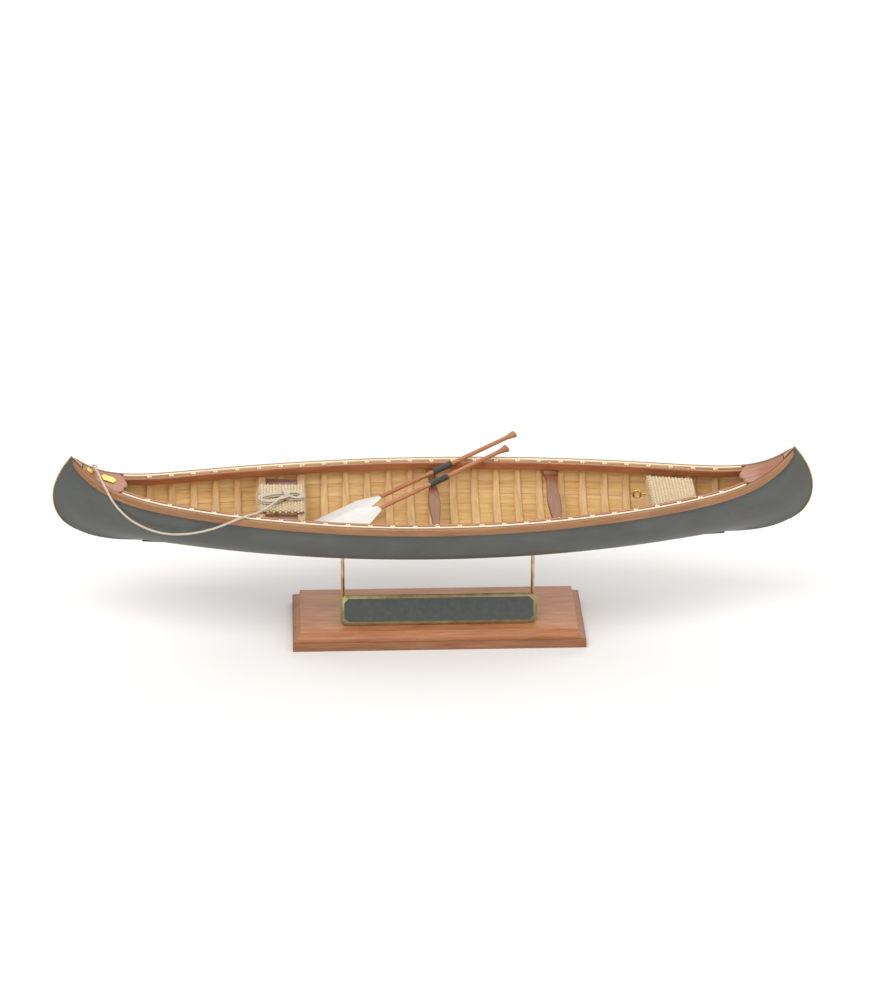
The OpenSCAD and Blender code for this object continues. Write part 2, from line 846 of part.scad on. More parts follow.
// ---- The whole object ----
plinth();
rod(-1);  // rod_forward
rod(1);  // rod_aft
plate_rest();
name_plate();
name_plate_field();
canvas_skin();
for (k = [1:planks]) {
    plank(k, -1);
    plank(k, 1);
}
ribs();
stem(-1);  // bow_stem
stem(1);  // stern_stem
stem_band(-1);  // bow_stem_band
stem_band(1);  // stern_stem_band
inwale(-1);  // inwale_port
inwale(1);  // inwale_starboard
outwale(-1);  // outwale_port
outwale(1);  // outwale_starboard
deck(-1);  // bow_deck
deck(1);  // stern_deck
outside_keel();
thwart(0, 6.6, 3.8, 6);  // centre_thwart
thwart(stern_thwart_at, 7.4, 5.2, 8);  // stern_thwart
thwart_bolts();
bow_seat_rail(bow_outer_x);  // bow_seat_front_rail
bow_seat_rail(bow_inner_x);  // bow_seat_rear_rail
bow_seat_side_boards();
bow_seat_panel();
stern_seat_rail(stern_inner_x);  // stern_seat_front_rail
stern_seat_rail(stern_outer_x);  // stern_seat_rear_rail
stern_seat_panel();
seat_bolts();
stern_seat_eye();
bow_deck_plate_small();
bow_deck_plate_large();
painter_eye();
painter_line();
painter_hank();
color("#F2F0EA") lay(far_neck, far_way) blade();  // far_paddle_blade
color(gunwale_colour) lay(far_neck, far_way) shaft();  // far_paddle_shaft
color(mahogany_colour) lay(far_neck, far_way) grip();  // far_paddle_grip
color("#3A3B38") lay(far_neck, far_way) sleeve();  // far_paddle_sleeve
color("#F2F0EA") lay(near_neck, near_way, near_roll) blade();  // near_paddle_blade
color(gunwale_colour) lay(near_neck, near_way, near_roll) shaft();  // near_paddle_shaft
color(mahogany_colour) lay(near_neck, near_way, near_roll) grip();  // near_paddle_grip
color("#3A3B38") lay(near_neck, near_way, near_roll) sleeve();  // near_paddle_sleeve
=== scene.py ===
import math
import random

import bmesh
import bpy
import numpy as np
from mathutils import Matrix, Vector


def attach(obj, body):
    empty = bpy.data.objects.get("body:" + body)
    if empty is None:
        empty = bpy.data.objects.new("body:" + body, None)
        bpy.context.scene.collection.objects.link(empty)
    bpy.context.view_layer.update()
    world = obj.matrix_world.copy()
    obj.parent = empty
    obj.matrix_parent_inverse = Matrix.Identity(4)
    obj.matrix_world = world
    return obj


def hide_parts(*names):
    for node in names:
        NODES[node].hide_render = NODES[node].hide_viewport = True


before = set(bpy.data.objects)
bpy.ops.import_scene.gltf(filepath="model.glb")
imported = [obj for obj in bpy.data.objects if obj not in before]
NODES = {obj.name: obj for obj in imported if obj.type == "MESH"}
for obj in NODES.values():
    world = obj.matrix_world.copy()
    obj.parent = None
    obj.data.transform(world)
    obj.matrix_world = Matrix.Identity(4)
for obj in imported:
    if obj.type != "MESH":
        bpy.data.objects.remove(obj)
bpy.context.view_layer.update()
MM = 0.001

# ---------------------------------------------------------------- camera
# The view is a long-lens one, from ahead of the middle, 25 degrees above level.
CAMERA_AT = (-0.07448, -1.76483, 0.90028)
CAMERA_RIGHT = (0.99910, -0.04213, 0.00395)
CAMERA_UP = (0.01426, 0.42307, 0.90598)
FOCAL_MM = 130.81
SENSOR_MM = 36


def add_camera():
    data = bpy.data.cameras.new("camera")
    data.lens = FOCAL_MM
    data.sensor_width = SENSOR_MM
    data.clip_start = 0.05
    camera = bpy.data.objects.new("camera", data)
    bpy.context.scene.collection.objects.link(camera)
    right = Vector(CAMERA_RIGHT).normalized()
    up = Vector(CAMERA_UP)
    up = (up - right * up.dot(right)).normalized()
    back = right.cross(up)
    turn = Matrix((right, up, back)).transposed()
    camera.matrix_world = Matrix.Translation(CAMERA_AT) @ turn.to_4x4()
    bpy.context.scene.camera = camera


# ---------------------------------------------------------------- hull form, in millimetres
SHIFT = -2.0  # the canoe's middle, along X
TIP_X, TIP_Z = 192.8, 103.5
STEM_X, STEM_Z = 203.5, 80.5
HEEL_X, HEEL_Z = 160.0, 54.1
BOTTOM_Z = 52.0
SHEER_Z = 79.2
HALF_BEAM, TIP_HALF = 47.0, 2.3
OUTWALE_W, OUTWALE_H = 1.9, 3.8
INWALE_W, INWALE_H = 2.1, 4.0
CANVAS_T, PLANK_T, RIB_T = 0.4, 1.6, 1.8
RIB_GAP = 0.08
INWALE_OUT = OUTWALE_W + CANVAS_T + PLANK_T + RIB_GAP + RIB_T + 0.02
INWALE_IN = INWALE_OUT + INWALE_W
RIBS, RIB_PITCH = 27, 11.75
PLANK_EDGES = (0, 0.05, 0.15, 0.27, 0.42, 0.6, 0.8, 1)
PLANK_REACH, TOP_PLANK_REACH = 0.924, 0.862  # shares of the way out to the stem
RIB_W, RIB_HEAD_W = 4.2, 2.5
INWALE_REACH, STRIP_REACH = 166.8, 166.0
STEM_HEAD_X = 187.3
DECK_START, DECK_HORN, DECK_TIP, DECK_T = 164.0, 165.5, 187.0, 1.4
THWART_T = 1.8
WEAVE_T, WEAVE_PITCH, WEAVE_D = 1.5, 1.62, 1.2
RAIL_H = 2.4
BOW_SEAT = (71.35, 92.45)  # its rails' middles, from the canoe's middle
STERN_SEAT = (117.3, 138.3)


def stem_at(z):
    z = np.asarray(z, float)
    low = np.clip((STEM_Z - z) / (STEM_Z - HEEL_Z), 0, 1)
    high = np.clip((z - STEM_Z) / (TIP_Z - STEM_Z), 0, 1.02)
    forefoot = HEEL_X + (STEM_X - HEEL_X) * np.clip(1 - low ** 2.3, 0, 1) ** (1 / 2.3)
    head = STEM_X - (STEM_X - TIP_X) * high ** 1.83
    return np.where(z < STEM_Z, forefoot, head)


def row_rise(t):
    return 1 - np.cos(np.pi / 2 * np.abs(t)) ** 1.25


def row_len(t):
    return stem_at(HEEL_Z + (TIP_Z - HEEL_Z) * row_rise(t))


def beam_half(v):
    return TIP_HALF + (HALF_BEAM - TIP_HALF) * np.clip(1 - v * v, 0, 1) ** 0.96


def sheer(v):
    return SHEER_Z + 6.5 * v ** 2 + 17.8 * v ** 12.5


def shape(v, t):
    """Half-breadth, signed as t is, and height of the hull's outer surface."""
    v, t = np.broadcast_arrays(np.asarray(v, float), np.asarray(t, float))
    a = np.pi / 2 * np.abs(t)
    n = 2 / (1 + 2.2 * (1 - v * v))
    blend = v ** 6
    rise = (1 - np.cos(a) ** n) * (1 - blend) + row_rise(t) * blend
    bottom = BOTTOM_Z + (HEEL_Z - BOTTOM_Z) * v ** 3
    y = np.sign(t) * (beam_half(v) - OUTWALE_W) * np.sin(a) ** n
    return y, bottom + (sheer(v) - bottom) * rise


def inset(v, t, gap, least=0.3):
    """The surface set in by gap, square to the section."""
    step = 0.012
    ya, za = shape(v, t - step)
    yb, zb = shape(v, np.minimum(t + step, 1))
    y, z = shape(v, t)
    dy, dz = yb - ya, zb - za
    length = np.hypot(dy, dz)
    return np.maximum(y - gap * dz / length, least * y), z + gap * dy / length


def share(x, t):
    return np.clip(np.abs(x) / row_len(t), 0, 1)


def sheer_at(x):
    return sheer(np.minimum(np.abs(x) / TIP_X, 1))


def gunwale_y(x, gap):
    return beam_half(np.minimum(np.abs(x) / TIP_X, 1)) - gap


def side_y(x, drop):
    """Half-breadth of the outer surface at a depth below the gunwale."""
    v = np.minimum(np.abs(x) / TIP_X, 1)
    blend = v ** 6
    n = 2 / (1 + 2.2 * (1 - v * v)) * (1 - blend) + 1.25 * blend
    bottom = BOTTOM_Z + (HEEL_Z - BOTTOM_Z) * v ** 3
    t = np.arccos((drop / (sheer(v) - bottom)) ** (1 / n)) / (np.pi / 2)
    return shape(share(x, t), t)[0]


def rail_top(x):
    return float(sheer_at(x)) - INWALE_H - 0.1


# ---------------------------------------------------------------- mesh making
# Each mesh carries "grain": metres along the wood's grain, across it and into it.
SHARP = math.radians(38)


def new_mesh(name, points, faces, grain=None):
    points = np.asarray(points, float) * MM
    mesh = bpy.data.meshes.new(name)
    mesh.from_pydata(points.tolist(), [], faces)
    mesh.validate()
    if grain is not None:
        layer = mesh.attributes.new("grain", "FLOAT_VECTOR", "POINT")
        layer.data.foreach_set("vector", (np.asarray(grain, float) * MM).astype(np.float32).ravel())
    mesh.update()
    mesh.shade_smooth()
    mesh.set_sharp_from_angle(angle=SHARP)
    piece = bpy.data.objects.new(name, mesh)
    bpy.context.scene.collection.objects.link(piece)
    return piece


def outward(piece):
    """Turns the faces of a closed mesh outwards."""
    bm = bmesh.new()
    bm.from_mesh(piece.data)
    bmesh.ops.recalc_face_normals(bm, faces=bm.faces)
    bm.to_mesh(piece.data)
    bm.free()
    piece.data.set_sharp_from_angle(angle=SHARP)
    return piece


def ring_faces(m, n, start=0, caps=True):
    """Faces of m rings of n points each."""
    faces = []
    for i in range(m - 1):
        a, b = start + i * n, start + (i + 1) * n
        for j in range(n):
            k = (j + 1) % n
            faces.append((a + j, b + j, b + k, a + k))
    if caps:
        faces.append(tuple(start + j for j in range(n)))
        faces.append(tuple(start + (m - 1) * n + j for j in reversed(range(n))))
    return faces


def loft(name, rings, grain):
    return lofts(name, [rings], [grain])


def lofts(name, many, grains):
    """Several separate lofts in one mesh."""
    points, faces, grain = [], [], []
    for rings, g in zip(many, grains):
        rings = np.asarray(rings, float)
        faces += ring_faces(*rings.shape[:2], start=sum(len(p) for p in points))
        points.append(rings.reshape(-1, 3))
        grain.append(np.asarray(g, float).reshape(-1, 3))
    return outward(new_mesh(name, np.concatenate(points), faces, np.concatenate(grain)))


def eased(count, reach=1.0):
    """Stations from -reach to reach, closer together at the ends."""
    return reach * np.sin(np.linspace(-np.pi / 2, np.pi / 2, count))


def rounded_section(across, up, r):
    """Outline of a rounded bar, centred, as (across, up) points."""
    points = []
    steps = 3
    for cx, cy, start in ((1, 1, 0), (-1, 1, 90), (-1, -1, 180), (1, -1, 270)):
        for k in range(steps + 1):
            a = math.radians(start + 90 * k / steps)
            points.append((cx * (across / 2 - r) + r * math.cos(a), cy * (up / 2 - r) + r * math.sin(a)))
    return np.array(points)


def frames(path):
    """Directions along a path, with two that are square to it and don't spin."""
    path = np.asarray(path, float)
    along = np.gradient(path, axis=0)
    along /= np.linalg.norm(along, axis=1)[:, None]
    side = np.cross(along[0], (0.13, 0.2, 1.0))
    sides = []
    for w in along:
        side = side - w * side.dot(w)
        side /= np.linalg.norm(side)
        sides.append(side)
    sides = np.array(sides)
    return along, sides, np.cross(along, sides)


def lengths(path):
    return np.concatenate([[0], np.cumsum(np.linalg.norm(np.diff(path, axis=0), axis=1))])


def laid_rope(path, d, pitch, lobes, depth, sides):
    """Rings of a laid cord: a lobed section that turns along the path."""
    along, a, b = frames(path)
    s = lengths(path)
    angle = np.linspace(0, 2 * np.pi, sides, endpoint=False)
    twist = 2 * np.pi * s[:, None] / pitch
    r = d / 2 * (1 - depth + depth * np.abs(np.cos(lobes / 2 * (angle[None, :] - twist))))
    rings = path[:, None] + r[..., None] * (
        np.cos(angle)[None, :, None] * a[:, None] + np.sin(angle)[None, :, None] * b[:, None])
    grain = np.stack([np.broadcast_to(s[:, None], r.shape), r * np.cos(angle), r * np.sin(angle)], -1)
    return rings, grain


def spline(points, parts):
    """A smooth curve through points, as in the CAD source."""
    p = np.asarray(points, float)
    last = len(p) - 1
    out = []
    for i in range(last):
        a, b, c, d = p[max(i - 1, 0)], p[i], p[i + 1], p[min(i + 2, last)]
        for k in range(parts):
            u = k / parts
            out.append(0.5 * (2 * b + (c - a) * u + (2 * a - 5 * b + 4 * c - d) * u * u
                              + (3 * b - a - 3 * c + d) * u ** 3))
    out.append(p[last])
    return np.array(out)


def even(path, step):
    s = lengths(path)
    at = np.linspace(0, s[-1], max(2, int(round(s[-1] / step)) + 1))
    return np.stack([np.interp(at, s, path[:, k]) for k in range(3)], 1)


# ---------------------------------------------------------------- materials
def linear(colour):
    """A "#rrggbb" colour as linear RGBA."""
    values = [int(colour[i:i + 2], 16) / 255 for i in (1, 3, 5)]
    return [v / 12.92 if v <= 0.04045 else ((v + 0.055) / 1.055) ** 2.4 for v in values] + [1]


class Shader:
    """A Principled material with a few helpers for procedural detail."""

    def __init__(self, name, coords="grain", **settings):
        self.material = bpy.data.materials.new(name)
        self.material.use_nodes = True
        self.tree = self.material.node_tree
        self.bsdf = next(n for n in self.tree.nodes if n.type == "BSDF_PRINCIPLED")
        for socket, value in settings.items():
            self.bsdf.inputs[socket.replace("_", " ")].default_value = value
        if coords == "object":
            self.coords = self.add("ShaderNodeTexCoord").outputs["Object"]
        else:
            node = self.add("ShaderNodeAttribute")
            node.attribute_name = coords
            self.coords = node.outputs["Vector"]

    def add(self, kind, **values):
        node = self.tree.nodes.new(kind)
        for key, value in values.items():
            setattr(node, key, value)
        return node

    def link(self, out, into):
        self.tree.links.new(out, into)

    def scaled(self, scale, shift=(0, 0, 0)):
        node = self.add("ShaderNodeMapping")
        node.inputs["Scale"].default_value = scale
        node.inputs["Location"].default_value = shift
        self.link(self.coords, node.inputs["Vector"])
        return node.outputs["Vector"]

    def noise(self, scale, detail=4, rough=0.6, distortion=0.0, shift=(0, 0, 0)):
        node = self.add("ShaderNodeTexNoise")
        node.inputs["Scale"].default_value = 1
        node.inputs["Detail"].default_value = detail
        node.inputs["Roughness"].default_value = rough
        node.inputs["Distortion"].default_value = distortion
        self.link(self.scaled(scale, shift), node.inputs["Vector"])
        return node.outputs["Fac"]

    def height_cm(self):
        node = self.add("ShaderNodeSeparateXYZ")
        self.link(self.scaled((100, 100, 100)), node.inputs["Vector"])
        return node.outputs["Z"]

    def ramp(self, value, stops):
        node = self.add("ShaderNodeValToRGB")
        elements = node.color_ramp.elements
        while len(elements) < len(stops):
            elements.new(0.5)
        for element, (at, colour) in zip(elements, stops):
            element.position = at
            element.color = linear(colour) if isinstance(colour, str) else [colour] * 3 + [1]
        self.link(value, node.inputs["Fac"])
        return node.outputs["Color"]

    def mix(self, a, b, share, mode="MIX"):
        node = self.add("ShaderNodeMix", data_type="RGBA", blend_type=mode)
        for socket, value in ((node.inputs[6], a), (node.inputs[7], b), (node.inputs[0], share)):
            if isinstance(value, (int, float)):
                socket.default_value = value
            elif isinstance(value, str):
                socket.default_value = linear(value)
            else:
                self.link(value, socket)
        return node.outputs[2]

    def colour(self, value):
        self.link(value, self.bsdf.inputs["Base Color"])

    def rough(self, value, low, high):
        node = self.add("ShaderNodeMapRange")
        node.inputs["To Min"].default_value = low
        node.inputs["To Max"].default_value = high
        self.link(value, node.inputs["Value"])
        self.link(node.outputs["Result"], self.bsdf.inputs["Roughness"])

    def bump(self, value, distance, strength):
        node = self.add("ShaderNodeBump")
        node.inputs["Distance"].default_value = distance
        node.inputs["Strength"].default_value = strength
        self.link(value, node.inputs["Height"])
        if self.bsdf.inputs["Normal"].links:
            self.link(self.bsdf.inputs["Normal"].links[0].from_socket, node.inputs["Normal"])
        self.link(node.outputs["Normal"], self.bsdf.inputs["Normal"])


def wood(name, dark, mid, light, figure=900, coat=0.35, rough=(0.34, 0.5), coords="grain",
         axis=0, streak=0.5, shade_by_height=()):
    """Varnished wood: broad growth bands, fine fibres and pores, all drawn out along the grain.

    shade_by_height is painted shade: stops of (height in centimetres, brightness) that darken a piece lower
    down, for a piece with object coordinates."""
    s = Shader(name, coords, Coat_Weight=coat, Coat_Roughness=0.16, Specular_IOR_Level=0.4)

    def along(f, stretch):
        scale = [f, f, f]
        scale[axis] = f / stretch
        return scale

    bands = s.noise(along(figure * 0.45, 9), detail=3, distortion=0.6)
    fibres = s.noise(along(figure * 3.2, 26), detail=5, rough=0.7, shift=(0.3, 0.1, 0.2))
    patches = s.noise(along(figure * 0.1, 2), detail=2, shift=(0.7, 0.2, 0.5))
    base = s.ramp(bands, [(0.3, dark), (0.5, mid), (0.72, light)])
    fine = s.ramp(fibres, [(0.32, dark), (0.52, mid), (0.68, light)])
    both = s.mix(base, fine, streak)
    tone = s.mix(both, s.ramp(patches, [(0.3, 0.8), (0.7, 1.0)]), 0.6, "MULTIPLY")
    # painted shade: the colour is darkened lower down, by the stops given for height
    if shade_by_height:
        tone = s.mix(tone, s.ramp(s.height_cm(), shade_by_height), 1, "MULTIPLY")
    s.colour(tone)
    s.rough(fibres, *rough)
    s.bump(fibres, 0.00004, 0.5)
    return s.material


def painted_canvas(name, coords):
    """Grey-green enamel over filled canvas: slight clouds of tone, brush marks and a faint weave."""
    s = Shader(name, coords, Coat_Weight=0.12, Coat_Roughness=0.3, Specular_IOR_Level=0.45)
    clouds = s.noise((45, 45, 45), detail=4)
    marks = s.noise((60, 900, 900), detail=3, shift=(0.2, 0.4, 0.1))
    tone = s.ramp(clouds, [(0.3, "#484b46"), (0.55, "#50534e"), (0.75, "#585b56")])
    s.colour(s.mix(tone, s.ramp(marks, [(0.35, 0.9), (0.65, 1.0)]), 0.5, "MULTIPLY"))
    s.rough(clouds, 0.42, 0.56)
    for k, spread in enumerate(((5200, 700, 1), (700, 5200, 1))):
        s.bump(s.noise(spread, detail=1, shift=(0.1 * k, 0.5, 0)), 0.00003, 0.5)
    return s.material


def brass(name, light="#d9bb6c", dark="#a98440", rough=(0.2, 0.38)):
    """Brass with a fine drawn finish and a little tarnish."""
    s = Shader(name, "object", Metallic=1.0)
    tarnish = s.noise((160, 160, 160), detail=5)
    drawn = s.noise((1500, 1500, 125), detail=3)
    s.colour(s.ramp(tarnish, [(0.3, dark), (0.62, light)]))
    s.rough(drawn, *rough)
    s.bump(drawn, 0.00001, 0.4)
    return s.material


def enamel():
    """Dark green enamel in the name plate's field."""
    s = Shader("plate_enamel", "object", Coat_Weight=0.4, Coat_Roughness=0.2)
    spots = s.noise((420, 420, 420), detail=5)
    s.colour(s.ramp(spots, [(0.3, "#3b423e"), (0.6, "#444b46"), (0.8, "#4c534e")]))
    s.rough(spots, 0.35, 0.5)
    s.bump(spots, 0.00002, 0.3)
    return s.material


def cord_fibre(name, dark, mid, light):
    """Soft spun fibre, darker where strands lie together."""
    s = Shader(name, "grain", Roughness=0.85, Sheen_Weight=0.25, Sheen_Roughness=0.5)
    fibres = s.noise((1820, 5200, 5200), detail=4, rough=0.7)
    tone = s.noise((160, 160, 160), detail=2, shift=(0.4, 0, 0))
    fine = s.ramp(fibres, [(0.3, dark), (0.5, mid), (0.68, light)])
    s.colour(s.mix(fine, s.ramp(tone, [(0.35, 0.86), (0.65, 1.0)]), 0.7, "MULTIPLY"))
    s.rough(fibres, 0.75, 0.92)
    s.bump(fibres, 0.00005, 0.6)
    return s.material


def white_paint():
    """White gloss over wood, with the grain just telling through."""
    s = Shader("white_paint", "grain", Coat_Weight=0.25, Coat_Roughness=0.2)
    grain = s.noise((160, 2600, 2600), detail=4)
    soil = s.noise((110, 110, 110), detail=4, shift=(0.2, 0.5, 0))
    tone = s.ramp(grain, [(0.3, "#d3cfc9"), (0.6, "#dedbd6")])
    s.colour(s.mix(tone, s.ramp(soil, [(0.3, 0.93), (0.6, 1.0)]), 0.6, "MULTIPLY"))
    s.rough(grain, 0.3, 0.45)
    s.bump(grain, 0.00003, 0.4)
    return s.material


def leather():
    """Black leather wrap, with pores, creases and rubbed high spots."""
    s = Shader("sleeve_leather", "grain", Specular_IOR_Level=0.5)
    cells = s.add("ShaderNodeTexVoronoi", feature="DISTANCE_TO_EDGE")
    cells.inputs["Scale"].default_value = 1
    s.link(s.scaled((2100, 2100, 2100)), cells.inputs["Vector"])
    creases = s.noise((900, 300, 300), detail=5)
    s.colour(s.mix(s.ramp(creases, [(0.3, "#2b2c2a"), (0.6, "#3d3f3c"), (0.8, "#525450")]),
                   s.ramp(cells.outputs["Distance"], [(0.0, 0.7), (0.12, 1.0)]), 0.6, "MULTIPLY"))
    s.rough(creases, 0.45, 0.65)
    s.bump(cells.outputs["Distance"], 0.00008, 0.5)
    return s.material


MATERIALS = {
    "tip_wood": wood("tip_wood", "#6b3c24", "#8f5b3c", "#a26d4a", figure=900, coat=0.2),
    "painted_canvas": painted_canvas("painted_canvas", "grain"),
    "painted_keel": painted_canvas("painted_keel", "object"),
    "cedar_plank": wood("cedar_plank", "#c08c4e", "#dab172", "#eacd95", figure=700, coat=0.08,
                        rough=(0.5, 0.65)),
    # a lighter copy of cedar_plank for the top strake: painted light where that strake is lit
    "lit_sheer_plank": wood("lit_sheer_plank", "#cc9e66", "#e2bd86", "#f0d5a4", figure=700, coat=0.08,
                        rough=(0.5, 0.65)),
    "cedar_rib": wood("cedar_rib", "#c2925a", "#dab47c", "#ecd2a2", figure=900, coat=0.08,
                      rough=(0.5, 0.65)),
    "cream_edge": wood("cream_edge", "#e6c398", "#f3dcb8", "#fae9cd", figure=900, streak=0.5),
    "gunwale_wood": wood("gunwale_wood", "#774b2a", "#97693f", "#aa7c50", figure=800, streak=0.5),
    "mahogany": wood("mahogany", "#7a4226", "#a1623c", "#b7784e", figure=800, coat=0.35),
    "thwart_wood": wood("thwart_wood", "#673c22", "#885331", "#9a653d", figure=900, coat=0.05, axis=1,
                        coords="object"),
    "seat_rail_wood": wood("seat_rail_wood", "#8d6742", "#a98159", "#bd956c", figure=900, axis=1,
                           coords="object"),
    "board_wood": wood("board_wood", "#4a2a1a", "#69402b", "#7a4e37", figure=900, coords="object"),
    # the plinth's lip and cove carry painted shade, darker below its top
    "plinth_wood": wood("plinth_wood", "#a66344", "#c88659", "#dd9e6e", figure=520, coat=0.15,
                        rough=(0.4, 0.55), coords="object", streak=0.6,
                        shade_by_height=[(0.49, 0.52), (0.56, 0.78), (0.92, 0.78), (0.955, 1.0)]),
    "paddle_wood": wood("paddle_wood", "#8c5533", "#b1754c", "#c48c62", figure=900),
    "brass": brass("brass"),
    "rod_brass": brass("rod_brass", "#dfc79f", "#b7986c", rough=(0.32, 0.48)),
    "dark_brass": brass("dark_brass", "#8a6a3c", "#5f4526", rough=(0.35, 0.5)),
    "plate_gold": brass("plate_gold", "#f0dc86", "#d9be62", rough=(0.4, 0.6)),
    "plate_border": brass("plate_border", "#a5976c", "#857650", rough=(0.35, 0.5)),
    "plate_enamel": enamel(),
    "painter_fibre": cord_fibre("painter_fibre", "#a89a88", "#cbbdaa", "#e0d5c5"),
    "seat_fibre": cord_fibre("seat_fibre", "#ab906a", "#d3be9a", "#e8d9bb"),
    "white_paint": white_paint(),
    "sleeve_leather": leather(),
}


def finish(piece, material, slot=None, body="canoe", replaces=()):
    """Gives a piece its material and its body. Its slot argument (the material's name if not given) is not
    used.
    """
    piece.data.materials.clear()
    piece.data.materials.append(MATERIALS[material])
    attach(piece, body)
    slot or material
    if replaces:
        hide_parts(*replaces)
    return piece


# ---------------------------------------------------------------- hull pieces
def skin():
    v = eased(141)
    t = eased(97)
    vv, tt = np.meshgrid(v, t, indexing="ij")
    x = vv * row_len(tt) + SHIFT
    sheets = []
    for gap in (0, CANVAS_T):
        y, z = inset(np.abs(vv), np.abs(tt), gap)
        sheets.append(np.stack([x, np.sign(tt) * y, z], -1))
    m, n = v.size, t.size
    # one ring per station: out along the outer sheet, back along the inner one
    rings = np.concatenate([sheets[0], sheets[1][:, ::-1]], 1)
    girth = np.concatenate([tt, tt[:, ::-1]], 1) * 60
    grain = np.stack([rings[..., 0], girth, np.zeros_like(girth)], -1)
    faces = ring_faces(m, 2 * n, caps=False)
    for i in (0, m - 1):
        for j in range(n - 1):
            a, b = i * 2 * n + j, i * 2 * n + 2 * n - 1 - j
            faces.append((a, a + 1, b - 1, b))
    piece = outward(new_mesh("painted_canvas_skin", rings.reshape(-1, 3), faces, grain.reshape(-1, 3)))
    finish(piece, "painted_canvas", replaces=["canvas_skin"])


def planking():
    """Seven planks to a side, each with eased edges, so that a fine seam shows between them."""
    rng = random.Random(7)
    top = len(PLANK_EDGES) - 1
    seam_share, seam_depth = 0.012, 0.12
    for side, s in (("port", -1), ("starboard", 1)):
        for k in range(1, top + 1):
            low, high = PLANK_EDGES[k - 1], PLANK_EDGES[k]
            reach = TOP_PLANK_REACH if k == top else PLANK_REACH
            v = eased(91) * reach
            edge = seam_share * (high - low)
            t = np.concatenate([[low + edge * 0.4, low + edge], np.linspace(low, high, 9)[1:-1],
                                [high - edge, high - edge * 0.4]])
            if k == 1:
                t[:2] = (1e-4, 0.002)
            if k == top:
                t[-2:] = (0.998, 1)
            vv, tt = np.meshgrid(v, t, indexing="ij")
            x = vv * row_len(tt) + SHIFT
            inner = np.full_like(tt, CANVAS_T + PLANK_T)
            inner[:, [0, -1]] -= seam_depth
            proud = 0.3 if k == top else 0
            sheets = []
            for gap in (CANVAS_T + 0.03, inner):
                y, z = inset(np.abs(vv), tt, gap)
                z = z + proud * np.clip((tt - 0.985) / 0.015, 0, 1)
                sheets.append(np.stack([x, s * np.maximum(y, 0.06), z], -1))
            rings = np.concatenate([sheets[0], sheets[1][:, ::-1]], 1)
            offset = rng.uniform(0, 900)
            girth = np.concatenate([tt, tt[:, ::-1]], 1) * 60 + offset
            grain = np.stack([rings[..., 0] + offset, girth, np.zeros_like(girth)], -1)
            piece = loft(f"cedar_plank_{side}_{k}", rings, grain)
            # the top strake takes the lighter copy of the cedar, painted light
            finish(piece, "lit_sheer_plank" if k == top else "cedar_plank", "cedar_plank",
                   replaces=[f"plank_{side}_{k}"])
            if k == top:
                edge_strip(side, s)


def edge_strip(side, s):
    """The bright top edge of the planking, between the outwale and the inwale."""
    x = eased(121, STRIP_REACH)
    rings, grain = [], []
    for at in x:
        centre = gunwale_y(at, OUTWALE_W + CANVAS_T + PLANK_T / 2 + 0.02)
        section = rounded_section(PLANK_T - 0.1, 0.7, 0.2)
        rings.append([(at + SHIFT, s * (centre + a), sheer_at(at) + 0.12 + u) for a, u in section])
        grain.append([(at, a, u) for a, u in section])
    piece = loft(f"planking_edge_{side}", rings, grain)
    finish(piece, "cream_edge", "cedar_plank")


def ribs():
    """Bent ribs with rounded corners; the heads stand pale between the planking and the inwale."""
    rng = random.Random(29)
    t = np.concatenate([-np.linspace(1, 0, 37)[:-1], np.linspace(0, 1, 37)])
    many, grains = [], []
    heads, head_grains, tacks = [], [], []
    for k in range(RIBS):
        x = (k - (RIBS - 1) / 2) * RIB_PITCH
        half = (RIB_W + (RIB_HEAD_W - RIB_W) * np.abs(t) ** 3) / 2
        outer, inner = CANVAS_T + PLANK_T + RIB_GAP, CANVAS_T + PLANK_T + RIB_GAP + RIB_T
        corner = 0.35
        section = [(-1, outer, 0), (-1, inner - corner, 0), (-1, inner - 0.1, corner * 0.7),
                   (-0.5, inner, 0), (0.5, inner, 0), (1, inner - 0.1, corner * 0.7),
                   (1, inner - corner, 0), (1, outer, 0)]
        s = np.concatenate([[0], np.cumsum(np.hypot(*np.diff(np.array(
            shape(share(np.full_like(t, x), np.abs(t)), t)), axis=1)))])
        offset = rng.uniform(0, 900)
        rings, grain = [], []
        for e, gap, ease in section:
            xs = x + e * (half - ease)
            v = share(xs, np.abs(t))
            y, z = inset(v, np.abs(t), gap + 0.4 * v ** 8 * (1 - np.abs(t)), 0.22)
            rings.append(np.stack([xs + SHIFT, np.sign(t) * y, z + 0.02], -1))
            grain.append(np.stack([s + offset, xs - x, np.full_like(s, gap)], -1))
        many.append(np.swapaxes(np.array(rings), 0, 1))
        grains.append(np.swapaxes(np.array(grain), 0, 1))
        for side in (-1, 1):
            centre = float(gunwale_y(x, OUTWALE_W + CANVAS_T + PLANK_T + RIB_GAP + RIB_T / 2))
            cap = rounded_section(2.3, RIB_T - 0.1, 0.3)
            levels = [(-0.25, 1), (0.22, 1), (0.32, 0.86)]
            heads.append([[(x + SHIFT + a * w, side * (centre + u * w), sheer_at(x) + dz) for a, u in cap]
                          for dz, w in levels])
            head_grains.append([[(dz + offset, a, u) for a, u in cap] for dz, w in levels])
            tacks.append([[(x + SHIFT + r * math.cos(a), side * (centre - 0.25) + r * math.sin(a),
                            sheer_at(x) + dz) for a in np.linspace(0, 2 * math.pi, 10, endpoint=False)]
                          for dz, r in ((0.2, 0.34), (0.36, 0.34), (0.44, 0.2))])
    finish(lofts("bent_ribs", many, grains), "cedar_rib", replaces=["ribs"])
    finish(lofts("rib_heads", heads, head_grains), "cream_edge", "cedar_rib")
    finish(lofts("rib_tacks", tacks, tacks), "dark_brass", "brass")


